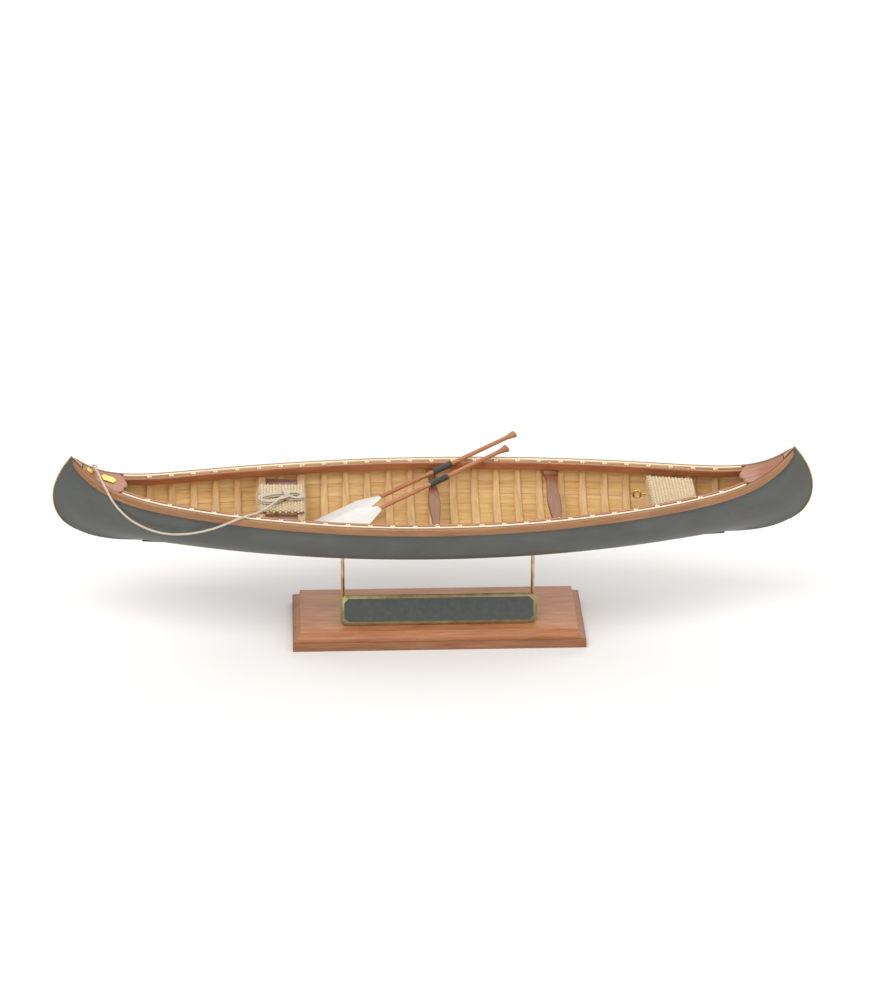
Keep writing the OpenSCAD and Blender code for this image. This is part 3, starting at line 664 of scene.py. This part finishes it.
def stem(end, s):
    v = np.array([0.951, 0.96, 0.971, 0.973, 0.98, 0.986, 0.991, 0.9945])
    t = np.concatenate([np.linspace(0.04, 0.9, 26), np.linspace(0.92, 1, 8)])
    vv, tt = np.meshgrid(v, t, indexing="ij")
    y, z = inset(vv, tt, CANVAS_T + 0.03, 0.25)
    # its top passes under the deck, then stands up between the rails' ends
    drop = np.where(tt >= 1, np.where(vv * TIP_X < STEM_HEAD_X, 1.5, -0.45), 0)
    x = s * vv * row_len(tt) + SHIFT
    rings = np.concatenate([np.stack([x, y, z - drop], -1), np.stack([x, -y, z - drop], -1)[:, ::-1]], 1)
    grain = np.stack([rings[..., 2], rings[..., 1], rings[..., 0]], -1)
    finish(loft(f"{end}_stem_post", rings, grain), "tip_wood", "cedar_rib", replaces=[f"{end}_stem"])
    rings, grain = [], []
    for k, x in enumerate(np.linspace(STEM_HEAD_X + 0.1, TIP_X - 0.5, 12)):
        section = rounded_section(0.7, 0.5, 0.15)
        rings.append([(s * x + SHIFT, a, float(sheer_at(x)) + 0.25 + u) for a, u in section])
        grain.append([(k, a, u) for a, u in section])
    finish(loft(f"{end}_stem_head_strip", rings, grain), "cream_edge", "cedar_rib")


def stem_band(end, s):
    """Half-round brass, bent round the stem and tapered at its foot."""
    proud, half = 0.5, 0.65
    z = np.linspace(BOTTOM_Z + 9, TIP_Z + 0.25, 60)
    path = np.stack([s * stem_at(np.minimum(z, TIP_Z)) + SHIFT, np.zeros_like(z), z], -1)
    along = np.gradient(path, axis=0)
    along /= np.linalg.norm(along, axis=1)[:, None]
    out = np.cross((0, s, 0), along)
    rings, grain = [], []
    for i, p in enumerate(path):
        taper = min(1, 0.35 + 0.65 * i / 8)
        ring = [p + out[i] * (0.03 + proud * taper * math.sin(a))
                + np.array((0, half * taper * math.cos(a), 0)) for a in np.linspace(0, math.pi, 9)]
        rings.append(ring)
        grain.append([(z[i], k, 0) for k in range(9)])
    finish(loft(f"{end}_stem_brass", rings, grain), "brass", replaces=[f"{end}_stem_band"])


def gunwale(name, node, s, reach, gaps, height, material, corner, rise=0, taper=0):
    """A rail that leans with the hull's side, with eased corners and rounded ends."""
    x = eased(141, reach)
    rings, grain = [], []
    for at in x:
        end = min(1, (reach - abs(at)) / taper) if taper else 1
        slim = 0.45 + 0.55 * math.sqrt(max(0, 1 - (1 - end) ** 2))
        lean = float(side_y(at, 0.001) - side_y(at, height))
        outer, inner = (float(gunwale_y(at, gap)) for gap in gaps)
        width, top = outer - inner, float(sheer_at(at)) + rise
        section = rounded_section(width * slim, height * slim, corner * slim)
        middle = inner + width * slim / 2
        rings.append([(at + SHIFT, s * (middle + a - lean * (0.5 - u / height)), top - height / 2 + u)
                      for a, u in section])
        grain.append([(at + 300 * s, a, u) for a, u in section])
    finish(loft(name, rings, grain), material, replaces=[node])


def deck_edge(w):
    """Where the deck's scalloped inner edge lies, at a share w of its half-breadth."""
    a, tongue = abs(w), 0.42
    if a < tongue:
        return DECK_START + (DECK_HORN - DECK_START) * (a / tongue) ** 2
    u = (a - tongue) / (1 - tongue)
    return DECK_HORN + 3.1 * u - 1.1 * math.sin(math.pi * u)


def deck_half(x):
    return float(gunwale_y(x, OUTWALE_W + CANVAS_T + 0.12))


def deck_top(x, w):
    return float(sheer_at(x)) + 0.15 + 0.6 * (1 - w * w) * deck_half(x) / 14


def deck(end, s):
    """A crowned deck with a scalloped inner edge and an eased rim."""
    rows, columns, ease = 30, 60, 0.3
    w = [math.sin(math.pi / 2 * k / (columns / 2)) for k in range(-columns // 2, columns // 2 + 1)]
    top, under = [], []
    for i in range(rows + 1):
        top.append([])
        under.append([])
        for value in w:
            start = deck_edge(value)
            x = start + (DECK_TIP - start) * (i / rows) ** 1.15
            rim = min(x - start, DECK_TIP - x, (1 - abs(value)) * deck_half(x) + 0.05)
            fall = 0 if rim >= ease else ease - math.sqrt(max(0, ease ** 2 - (ease - rim) ** 2))
            y = value * deck_half(x)
            top[-1].append((s * x + SHIFT, y, deck_top(x, value) - fall))
            under[-1].append((s * x + SHIFT, y, deck_top(x, value) - DECK_T))
    rings = np.concatenate([np.array(top), np.array(under)[:, ::-1]], 1)
    grain = np.stack([rings[..., 0], rings[..., 1], rings[..., 2] * 0.3], -1)
    finish(loft(f"{end}_scalloped_deck", rings, grain), "mahogany", replaces=[f"{end}_deck"])


# ---------------------------------------------------------------- thwarts and seats
def thwart(node, x, middle, neck, flare):
    """A flat thwart, wide in the middle with narrow necks, and raised feet under the inwales."""
    half, foot = float(gunwale_y(x, INWALE_IN)) - 0.3, float(gunwale_y(x, INWALE_OUT)) - 0.6
    top, under = SHEER_Z - INWALE_H - 1.1, rail_top(x)
    waist = 0.72
    rings, grain = [], []
    for y in np.linspace(-foot, foot, 121):
        w = abs(y) / foot
        if w < waist:
            wide = neck + (middle - neck) * math.cos(math.pi / 2 * w / waist) ** 2
        else:
            wide = neck + (flare - neck) * ((w - waist) / (1 - waist)) ** 2
        ramp = min(1, max(0, (abs(y) - half + 1.2) / 1.8))
        rise = (under - top) * (3 * ramp ** 2 - 2 * ramp ** 3)
        section = rounded_section(wide, THWART_T, 0.55)
        rings.append([(x + SHIFT + a, y, top - THWART_T / 2 + u + (rise if u > 0 else 0))
                      for a, u in section])
        grain.append([(y, a, u) for a, u in section])
    finish(loft(node + "_wood", rings, grain), "thwart_wood", replaces=[node])


def seat_place(s, inner, outer):
    """Maps a seat that is laid out flat to where it hangs."""
    rise = rail_top(outer) - rail_top(inner)
    angle = math.atan2(rise, outer - inner)

    def place(points):
        p = np.asarray(points, float)
        x, z = p[..., 0] - inner, p[..., 2]
        px = inner + x * math.cos(angle) - z * math.sin(angle)
        pz = rail_top(inner) + x * math.sin(angle) + z * math.cos(angle)
        return np.stack([s * px + SHIFT, p[..., 1], pz], -1)
    return place


def board(name, node, place, low, high, material, slot, lengthwise=1, let_in=0, within=0):
    """A planed board with eased edges, between two corners in the flat seat's own space.

    It may be let in on both edges, between -within and within, for a cord's turns."""
    low, high = np.array(low, float), np.array(high, float)
    side = 1 - lengthwise
    size, centre = high - low, (high + low) / 2
    section = rounded_section(size[side], size[2], 0.4)
    rings = []
    # how far along, how full the section is, and how far it is let in
    stations = [(0, 0.9, 0), (0.004, 0.97, 0), (0.012, 1, 0), (0.5, 1, 0), (0.988, 1, 0), (0.996, 0.97, 0),
                (1, 0.9, 0)]
    if let_in:
        notch = [(within * e + centre[lengthwise] - low[lengthwise]) / size[lengthwise] for e in (-1, 1)]
        stations[3:4] = [(notch[0] - 0.004, 1, 0), (notch[0], 1, let_in), (notch[1], 1, let_in),
                         (notch[1] + 0.004, 1, 0)]
    for k, shrink, into in stations:
        ring = []
        for a, u in section:
            p = [0, 0, centre[2] + u * shrink - (into * 0.4 if u > 0 else 0)]
            p[side] = centre[side] + a * shrink * (1 - 2 * into / size[side])
            p[lengthwise] = low[lengthwise] + size[lengthwise] * k
            ring.append(p)
        rings.append(ring)
    piece = loft(name, place(rings), rings)
    return finish(piece, material, slot, replaces=[node] if node else [])


def woven_seat(name, node, place, inner, outer, inner_half, outer_half, rail):
    """Two-ply cord wound round both rails, with cross strands woven over and under."""
    r = WEAVE_D / 2
    edge = rail / 2 - r + 0.15
    middle = WEAVE_T * 0.55
    x0, x1 = inner - edge, outer + edge
    warps = int(2 * inner_half / WEAVE_PITCH)
    wefts = int((x1 - x0) / WEAVE_PITCH)
    pitch_x = (x1 - x0) / wefts

    def half(x):
        return inner_half + (outer_half - inner_half) * (x - inner + rail / 2) / (outer - inner + rail)

    many, grains = [], []
    rng = random.Random(3)

    def strand(path):
        rings, grain = laid_rope(even(path, 0.33), WEAVE_D * rng.uniform(0.94, 1.04), 2.6, 2, 0.2, 8)
        many.append(place(rings))
        grains.append(grain + np.array((rng.uniform(0, 500), 0, 0)))

    for k in range(warps):
        u = (k + 0.5) / warps * 2 - 1
        slope = [(x0, -RAIL_H - r), (x0, -RAIL_H * 0.5), (x0, -0.2)]
        top = [(x, middle + r * math.cos(math.pi * ((x - x0) / pitch_x + k)))
               for x in np.arange(x0 + 0.35, x1 - 0.3, pitch_x / 5)]
        back = [(x1, -0.2), (x1, -RAIL_H * 0.5), (x1, -RAIL_H - r)]
        start = [(inner + rail / 2 + 0.4, -RAIL_H - r)]
        end = [(outer - rail / 2 - 0.4, -RAIL_H - r)]
        path = [(x, u * (half(x) - r), z) for x, z in start + slope + top + back + end]
        strand(spline(path, 2))
    for j in range(1, wefts):
        x = x0 + pitch_x * j
        reach = half(x)
        ys = np.arange(-reach, reach + 0.01, 2 * reach / (warps * 5))
        waves = (ys / reach + 1) / 2 * warps - 0.5 + j
        strand(np.stack([np.full_like(ys, x), ys, middle - r * np.cos(math.pi * waves)], 1))
    finish(lofts(name, many, grains), "seat_fibre", "seat_weave", replaces=[node])


def seats():
    (inner, outer), rail, half = BOW_SEAT, 4.2, 16.8
    place = seat_place(-1, inner, outer)

    def reach(x, width):
        return float(gunwale_y(x + width / 2, INWALE_OUT)) - 0.6

    for node, x in (("bow_seat_front_rail", outer), ("bow_seat_rear_rail", inner)):
        y = reach(x, rail)
        board(node + "_wood", node, place, (x - rail / 2, -y, -RAIL_H), (x + rail / 2, y, 0),
              "seat_rail_wood", "seat_rail_wood", let_in=1.0, within=half + 0.2)
    near, far = half + 0.3, reach(outer, rail) - 2.5
    start, stop = inner + rail / 2 + 0.02, outer - rail / 2 - 0.02
    for name, y in (("starboard", near), ("port", -far)):
        piece = board(f"bow_seat_board_{name}", None, place, (start, y, -RAIL_H),
                      (stop, y + far - near, -0.4), "board_wood", "mahogany", lengthwise=0)
        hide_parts("bow_seat_side_boards")
    woven_seat("bow_seat_weave", "bow_seat_panel", place, inner, outer, half, half, rail)
    (inner, outer), rail, front_half, rear_half = STERN_SEAT, 3.6, 19.2, 11.2
    place = seat_place(1, inner, outer)
    for node, x in (("stern_seat_front_rail", inner), ("stern_seat_rear_rail", outer)):
        y = reach(x, rail)
        board(node + "_wood", node, place, (x - rail / 2, -y, -RAIL_H), (x + rail / 2, y, 0),
              "seat_rail_wood", "seat_rail_wood", let_in=0.85,
              within=front_half + 0.1 if x == inner else rear_half + 0.2)
    woven_seat("stern_seat_weave", "stern_seat_panel", place, inner, outer, front_half, rear_half, rail)


# ---------------------------------------------------------------- plates
def plate(name, node, outline, thick, bevel, place, material, slot, body="canoe"):
    """A flat plate with a small bevel all round its face."""
    outline = np.array(outline, float)
    centre = outline.mean(0)
    nearer = 1 - bevel / np.abs(outline - centre).max(0)
    levels = [(outline, 0), (outline, thick - bevel), (centre + (outline - centre) * nearer, thick)]
    rings = np.array([[(a, b, h) for a, b in ring] for ring, h in levels])
    finish(loft(name, place(rings), rings), material, slot, body, replaces=[node])


def deck_plates():
    for name, at, length, width, point in (("small", 183.6, 4.6, 4.2, 1.2), ("large", 173.8, 8.6, 6.6, 1.4)):
        half = length / 2
        z0, z1 = deck_top(at - half, 0), deck_top(at + half, 0)
        slope = math.atan2(z1 - z0, length)
        outline = [(-half, 0), (point - half, -width / 2), (half - point, -width / 2), (half, 0),
                   (half - point, width / 2), (point - half, width / 2)]

        def place(rings):
            x = rings[..., 0] * math.cos(slope) + rings[..., 2] * math.sin(slope)
            z = -rings[..., 0] * math.sin(slope) + rings[..., 2] * math.cos(slope)
            return np.stack([x - at + SHIFT, rings[..., 1], z + (z0 + z1) / 2 + 0.05], -1)
        plate(f"bow_plate_{name}", f"bow_deck_plate_{name}", outline, 0.4, 0.12, place,
              "plate_gold", "plate_gold")


# ---------------------------------------------------------------- painter
PAINTER_D = 1.2
# the free line, in metres
PAINTER_ROUTE = [
    (-0.1826, 0.0020, 0.0962), (-0.1816, -0.0015, 0.0953), (-0.1802, -0.0050, 0.0940),
    (-0.1784, -0.0090, 0.0918), (-0.1766, -0.0122, 0.0898), (-0.1748, -0.0136, 0.0864),
    (-0.1722, -0.0144, 0.0820), (-0.1685, -0.0158, 0.0778), (-0.1640, -0.0176, 0.0742),
    (-0.1585, -0.0198, 0.0716), (-0.1515, -0.0226, 0.0697), (-0.1435, -0.0256, 0.0693),
    (-0.1350, -0.0284, 0.0705), (-0.1270, -0.0310, 0.0728), (-0.1195, -0.0332, 0.0758),
    (-0.1135, -0.0349, 0.0789), (-0.1090, -0.0359, 0.0814), (-0.1055, -0.0352, 0.0825),
    (-0.1015, -0.0324, 0.0826), (-0.0975, -0.0280, 0.0816), (-0.0935, -0.0220, 0.0808),
    (-0.0900, -0.0165, 0.0806), (-0.0868, -0.0115, 0.0809), (-0.0852, -0.0092, 0.0811),
]
HANK_AT = (-84.0, -3.2)
HANK_WAY = math.atan2(4.5, 16)
HANK_TURNS = 4
HANK_WRAPS = 3
HANK_TIE = 2.2
ROPE_LAY, ROPE_STEP = 3.4, 0.35
ROPE_STRANDS, ROPE_DEPTH = 3, 0.26


def hank_wraps():
    """Turns round the waist of the bundle, as (along, across, up) points."""
    points = []
    sweep = 360 * HANK_WRAPS - 100
    for k in range(65):
        a = math.radians(165 - sweep * k / 64)
        along = HANK_TIE + 1.3 * (HANK_WRAPS - 1) * (0.5 - k / 64)
        points.append((along, 2.9 * math.cos(a), 2.5 + 2.1 * math.sin(a)))
    return points + [(3.8, -2.6, 0.6), (7.4, -2.8, 0.6)]


def hank_turns():
    """The turns themselves: two side by side in each of two layers, drawn in at the tie."""
    points = []
    steps = 60
    for k in range(HANK_TURNS):
        for i in range(steps):
            f = i / steps
            a = 2 * math.pi * f - 0.35
            blend = max(0, (f - 0.75) / 0.25)
            blend = blend * blend * (3 - 2 * blend)

            def at(turn):
                outer, row = turn % 2, turn // 2
                length = 10.9 + 1.25 * outer
                width = 3.6 + 1.25 * outer
                waist = 0.66 + 1.25 * outer
                x = length * math.cos(a) - 0.2
                pinch = math.exp(-((x - HANK_TIE) / 3.6) ** 2)
                full = width * math.sqrt(max(0, 1 - (x / (length + 0.2)) ** 4))
                y = math.copysign(full * (1 - pinch) + min(full, waist) * pinch, math.sin(a))
                if abs(math.sin(a)) < 0.05:
                    y *= abs(math.sin(a)) / 0.05
                z = 0.62 + 1.2 * row + 1.2 * math.exp(-((x - HANK_TIE) / 4.5) ** 2)
                return np.array((x, y, z))
            points.append(at(k) * (1 - blend) + at(min(k + 1, HANK_TURNS - 1)) * blend)
    return points


def painter():
    """The painter from its eye bolt, down in a bight outside the hull, and in to its hank."""
    place = seat_place(-1, *BOW_SEAT)
    c, s = math.cos(HANK_WAY), math.sin(HANK_WAY)

    def on_seat(points):
        flat = []
        for a, b, u in points:
            x, y = HANK_AT[0] + a * c - b * s, HANK_AT[1] + a * s + b * c
            flat.append((-(x - SHIFT), y, WEAVE_T + 0.15 + u))
        return place(flat)

    hank = on_seat(hank_wraps() + hank_turns())
    route = np.concatenate([np.array(PAINTER_ROUTE) / MM, hank])
    path = smooth(even(spline(route, 4), ROPE_STEP), 6)
    rings, grain = laid_rope(path, PAINTER_D, ROPE_LAY, ROPE_STRANDS, ROPE_DEPTH, 12)
    rope = loft("painter_rope", rings, grain)
    finish(rope, "painter_fibre", "painter_rope", replaces=["painter_line", "painter_hank"])
    # a stopper at its end, and turns round itself under the eye bolt's ring
    end = turns("painter_end_knot", path[-1], path[-1] - path[-6], 0.62, 2.2, 0.9)
    knot = turns("painter_eye_knot", path[5], path[8] - path[2], 0.85, 3.2, 0.85)
    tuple(PAINTER_ROUTE[0])
    [tuple(p) for p in path * MM]


def smooth(path, times):
    path = path.copy()
    for _ in range(times):
        path[1:-1] = 0.25 * path[:-2] + 0.5 * path[1:-1] + 0.25 * path[2:]
    return path


def turns(name, centre, axis, radius, count, d):
    """A few turns of the same cord about an axis."""
    axis = np.array(axis, float) / np.linalg.norm(axis)
    side = np.cross(axis, (0.1, 0.3, 1))
    side /= np.linalg.norm(side)
    other = np.cross(axis, side)
    path = []
    for a in np.linspace(0, 2 * math.pi * count, int(22 * count)):
        path.append(np.array(centre) + radius * (math.cos(a) * side + math.sin(a) * other)
                    + axis * d * 0.9 * (a / (2 * math.pi) - count / 2))
    rings, grain = laid_rope(np.array(path), d, ROPE_LAY, ROPE_STRANDS, ROPE_DEPTH, 10)
    return finish(loft(name, rings, grain), "painter_fibre", "painter_rope")


# ---------------------------------------------------------------- paddles
BLADE_LEN, BLADE_W, BLADE_T = 50.0, 13.0, 1.1
NECK_SHARE, SHOULDER_END, TIP_FROM = 0.26, 0.22, 0.8
HANDLE_LEN, GRIP_LEN, SHAFT_D = 86.0, 7.0, 2.4
SLEEVE_D, SLEEVE_LEN, SLEEVE_FROM = 3.6, 11.5, 33.5
CIRCLE = np.linspace(0, 2 * math.pi, 28, endpoint=False)
# where the neck of each is, the way to its blade's tip, and its roll in degrees
PADDLES = {
    "far": ((-30.7, 17.6, 69.0), (-0.873, -0.428, -0.233), 0),
    "near": ((-31.2, -0.9, 71.0), (-0.826, -0.546, -0.155), -18),
}


def blade():
    """A low ridge down its middle that dies out towards the tip, and thin rounded edges."""
    rings = []
    across = np.linspace(-1, 1, 15)
    shares = [np.linspace(0, 0.06, 5), np.linspace(0.08, 0.9, 34), 1 - np.geomspace(0.09, 0.0015, 12)]
    for u in np.concatenate(shares):
        shoulder = min(1, NECK_SHARE + (1 - NECK_SHARE) * u / SHOULDER_END)
        tip = math.sqrt(1 - ((u - TIP_FROM) / (1 - TIP_FROM)) ** 2 * 0.96) if u > TIP_FROM else 1
        half = BLADE_W / 2 * shoulder * tip
        ridge = 0.28 * max(0, 1 - u * 1.15)
        thick = [BLADE_T / 2 * (0.22 + 0.5 * (1 - w * w) * (1 - 0.5 * u)
                                + ridge * math.exp(-(w * half / 1.3) ** 2)) for w in across]
        x, edge = u * BLADE_LEN, half * 1.01
        top = [(x, half * w, h) for w, h in zip(across, thick)]
        under = [(x, half * w, -h) for w, h in zip(across[::-1], thick[::-1])]
        rings.append(top + [(x, edge, 0)] + under + [(x, -edge, 0)])
    return rings


def shaft():
    """A round shaft, slightly flattened into the blade."""
    rings = []
    for x in np.concatenate([np.linspace(-HANDLE_LEN + 6.5, -6, 24), np.linspace(-5, -0.02, 8)]):
        wide = SHAFT_D / 2 * (1 + 0.12 * max(0, 1 + x / 6))
        thick = SHAFT_D / 2 * (1 - 0.2 * max(0, 1 + x / 6))
        rings.append([(x, wide * math.cos(a), thick * math.sin(a)) for a in CIRCLE])
    return rings


def grip():
    """A grip that swells to a flat palm rest with a rounded end."""
    rings = []
    for k in range(25):
        f = k / 24
        x = -HANDLE_LEN + GRIP_LEN * (1 - f)
        wide = SHAFT_D / 2 + 1.4 * f ** 1.7
        thick = SHAFT_D / 2 + 0.85 * f ** 1.7
        if f > 0.9:
            end = math.sqrt(max(0.02, 1 - ((f - 0.9) / 0.1) ** 2 * 0.6))
            thick *= end
            wide *= 0.6 + 0.4 * end
        rings.append([(x, wide * math.cos(a), thick * math.sin(a)) for a in CIRCLE])
    return rings


def sleeve():
    """A leather wrap with an overlapped seam and rolled ends."""
    rings = []
    for x in np.concatenate([[0, 0.12, 0.35], np.linspace(0.8, SLEEVE_LEN - 0.8, 30),
                             [SLEEVE_LEN - 0.35, SLEEVE_LEN - 0.12, SLEEVE_LEN]]):
        end = min(x, SLEEVE_LEN - x)
        r = SLEEVE_D / 2 * (0.9 + 0.1 * min(1, end / 0.35)) - 0.05
        r += 0.035 * math.sin(2 * math.pi * x / 1.1)
        laps = [0.14 * max(0, 1 - abs(a - 4.4) / 0.35) for a in CIRCLE]
        rings.append([(-SLEEVE_FROM - x, (r + lap) * math.cos(a), (r + lap) * math.sin(a))
                      for a, lap in zip(CIRCLE, laps)])
    return rings


def paddle(which, neck, way, roll):
    """The four pieces are laid out along X with the neck at the origin, then put in place."""
    way = np.array(way) / np.linalg.norm(way)
    turn = math.atan2(way[1], way[0])
    tip_down = -math.asin(way[2])
    turning = np.array(Matrix.Rotation(turn, 3, "Z") @ Matrix.Rotation(tip_down, 3, "Y")
                       @ Matrix.Rotation(math.radians(roll), 3, "X"))
    offset = 0 if which == "far" else 400
    for name, rings, material, slot, node in (
        ("painted_blade", blade(), "white_paint", "paddle_white", "blade"),
        ("round_shaft", shaft(), "paddle_wood", "paddle_shaft", "shaft"),
        ("palm_grip", grip(), "paddle_wood", "paddle_shaft", "grip"),
        ("leather_wrap", sleeve(), "sleeve_leather", "sleeve_leather", "sleeve"),
    ):
        rings = np.array(rings)
        piece = loft(f"{which}_{name}", rings @ turning.T + np.array(neck), rings + np.array((offset, 0, 0)))
        finish(piece, material, slot, f"{which}_paddle", replaces=[f"{which}_paddle_{node}"])


# ---------------------------------------------------------------- stand
PLINTH_L, PLINTH_W, PLINTH_H = 158.0, 60.0, 9.6
LIP_H, EDGE_IN = 5.0, 4.2
PLATE_L, PLATE_H, PLATE_TILT, PLATE_FOOT = 106.0, 16.5, 22.0, -PLINTH_W / 2 + EDGE_IN + 6.5
PLATE_NOTCH, PLATE_BORDER, PLATE_GAP = 2.2, 2.0, 0.35


def plinth():
    """The plinth's moulding runs all round: an eased lip, a quirk and a cove."""
    profile = [(0.35, 0), (0, 0.35), (0, LIP_H - 0.5), (0.15, LIP_H - 0.15), (0.5, LIP_H), (0.95, LIP_H),
               (1.0, LIP_H + 0.38)]
    cove_h = PLINTH_H - 0.9 - LIP_H
    for a in np.radians(np.linspace(0, 90, 10)):
        profile.append((1 + (EDGE_IN - 1) * math.sin(a), LIP_H + 0.4 + cove_h * (1 - math.cos(a))))
    profile += [(EDGE_IN, PLINTH_H - 0.2), (EDGE_IN + 0.08, PLINTH_H - 0.05), (EDGE_IN + 0.25, PLINTH_H)]
    corners = ((1, 1), (-1, 1), (-1, -1), (1, -1))
    rings = []
    for into, z in profile:
        x, y = PLINTH_L / 2 - into, PLINTH_W / 2 - into
        ring = []
        for (cx, cy), (nx, ny) in zip(corners, corners[1:] + corners[:1]):
            ring.append((cx * x, cy * y, z))
            for f in (0.02, 0.25, 0.5, 0.75, 0.98):
                ring.append((x * (cx + (nx - cx) * f), y * (cy + (ny - cy) * f), z))
        rings.append(ring)
    finish(loft("moulded_plinth", rings, rings), "plinth_wood", "plinth_wood", "stand", replaces=["plinth"])


def name_plate():
    tilt = math.radians(90 - PLATE_TILT)

    def place(rings):
        y = PLATE_FOOT + rings[..., 1] * math.cos(tilt) - rings[..., 2] * math.sin(tilt)
        z = PLINTH_H + rings[..., 1] * math.sin(tilt) + rings[..., 2] * math.cos(tilt)
        return np.stack([rings[..., 0], y, z], -1)

    def outline(border):
        x, low, high = PLATE_L / 2 - border, PLATE_GAP + border, PLATE_GAP + PLATE_H - border
        corners = [(x, high), (-x, high), (-x, low), (x, low)]
        points = []
        for k, (cx, cy) in enumerate(corners):
            sx, sy = math.copysign(1, cx), (1 if cy > low else -1)
            order = [(cx, cy - sy * PLATE_NOTCH), (cx - sx * PLATE_NOTCH, cy)]
            points += order if k % 2 == 0 else order[::-1]
        return points

    plate("name_plate_back", "name_plate", outline(0), 0.8, 0.2, place,
          "plate_border", "plate_gold", "stand")
    plate("name_plate_enamel", "name_plate_field", outline(PLATE_BORDER), 1.05, 0.08, place,
          "plate_enamel", "plate_field", "stand")


# ---------------------------------------------------------------- light and floor
def studio():
    size = 6.0
    floor = new_mesh("floor", np.array([(-1, -1, 0), (1, -1, 0), (1, 1, 0), (-1, 1, 0)]) * size / 2 / MM,
                     [(0, 1, 2, 3)])
    s = Shader("studio_floor", "object", Roughness=0.8)
    s.colour(s.ramp(s.noise((3, 3, 3)), [(0.3, "#f1eeec"), (0.7, "#f5f3f1")]))
    floor.data.materials.append(s.material)
    world = bpy.data.worlds.new("studio")
    bpy.context.scene.world = world
    world.use_nodes = True
    background = world.node_tree.nodes["Background"]
    background.inputs["Color"].default_value = linear("#f6f4f2")
    background.inputs["Strength"].default_value = 0.85
    for name, at, size, power in (
        ("key", (-0.5, -0.9, 1.6), 1.0, 16),
        ("fill", (1.2, -0.6, 1.0), 1.2, 6),
        ("rim", (0.3, 1.4, 1.3), 1.2, 8),
    ):
        data = bpy.data.lights.new(name, "AREA")
        data.size = size
        data.energy = power
        lamp = bpy.data.objects.new(name, data)
        lamp.location = at
        lamp.rotation_euler = (Vector((0, 0, 0.06)) - Vector(at)).to_track_quat("-Z", "Y").to_euler()
        bpy.context.scene.collection.objects.link(lamp)
    bpy.context.scene.view_settings.view_transform = "Standard"


def carried(nodes, material):
    """A CAD node that keeps its own shape gets its finish here."""
    for name in nodes:
        piece = NODES[name]
        piece.data.materials.clear()
        piece.data.materials.append(MATERIALS[material])


# ---------------------------------------------------------------- build
add_camera()
painter()
skin()
planking()
ribs()
for end, s in (("bow", -1), ("stern", 1)):
    stem(end, s)
    stem_band(end, s)
    deck(end, s)
for side, s in (("port", -1), ("starboard", 1)):
    gunwale(f"{side}_outer_rail", f"outwale_{side}", s, TIP_X - 0.6, (0, OUTWALE_W - 0.05), OUTWALE_H,
            "gunwale_wood", corner=0.6, rise=0.2, taper=5)
    gunwale(f"{side}_inner_rail", f"inwale_{side}", s, INWALE_REACH, (INWALE_OUT + 0.03, INWALE_IN), INWALE_H,
            "mahogany", corner=0.4)
thwart("centre_thwart", x=0, middle=6.6, neck=3.8, flare=6)
thwart("stern_thwart", x=64.4, middle=7.4, neck=5.2, flare=8)
seats()
deck_plates()
for which, (neck, way, roll) in PADDLES.items():
    paddle(which, neck, way, roll)
plinth()
name_plate()
carried(["rod_forward", "rod_aft"], "rod_brass")
carried(["thwart_bolts", "seat_bolts", "stern_seat_eye", "painter_eye"], "brass")
carried(["plate_rest"], "plinth_wood")
carried(["outside_keel"], "painted_keel")
studio()
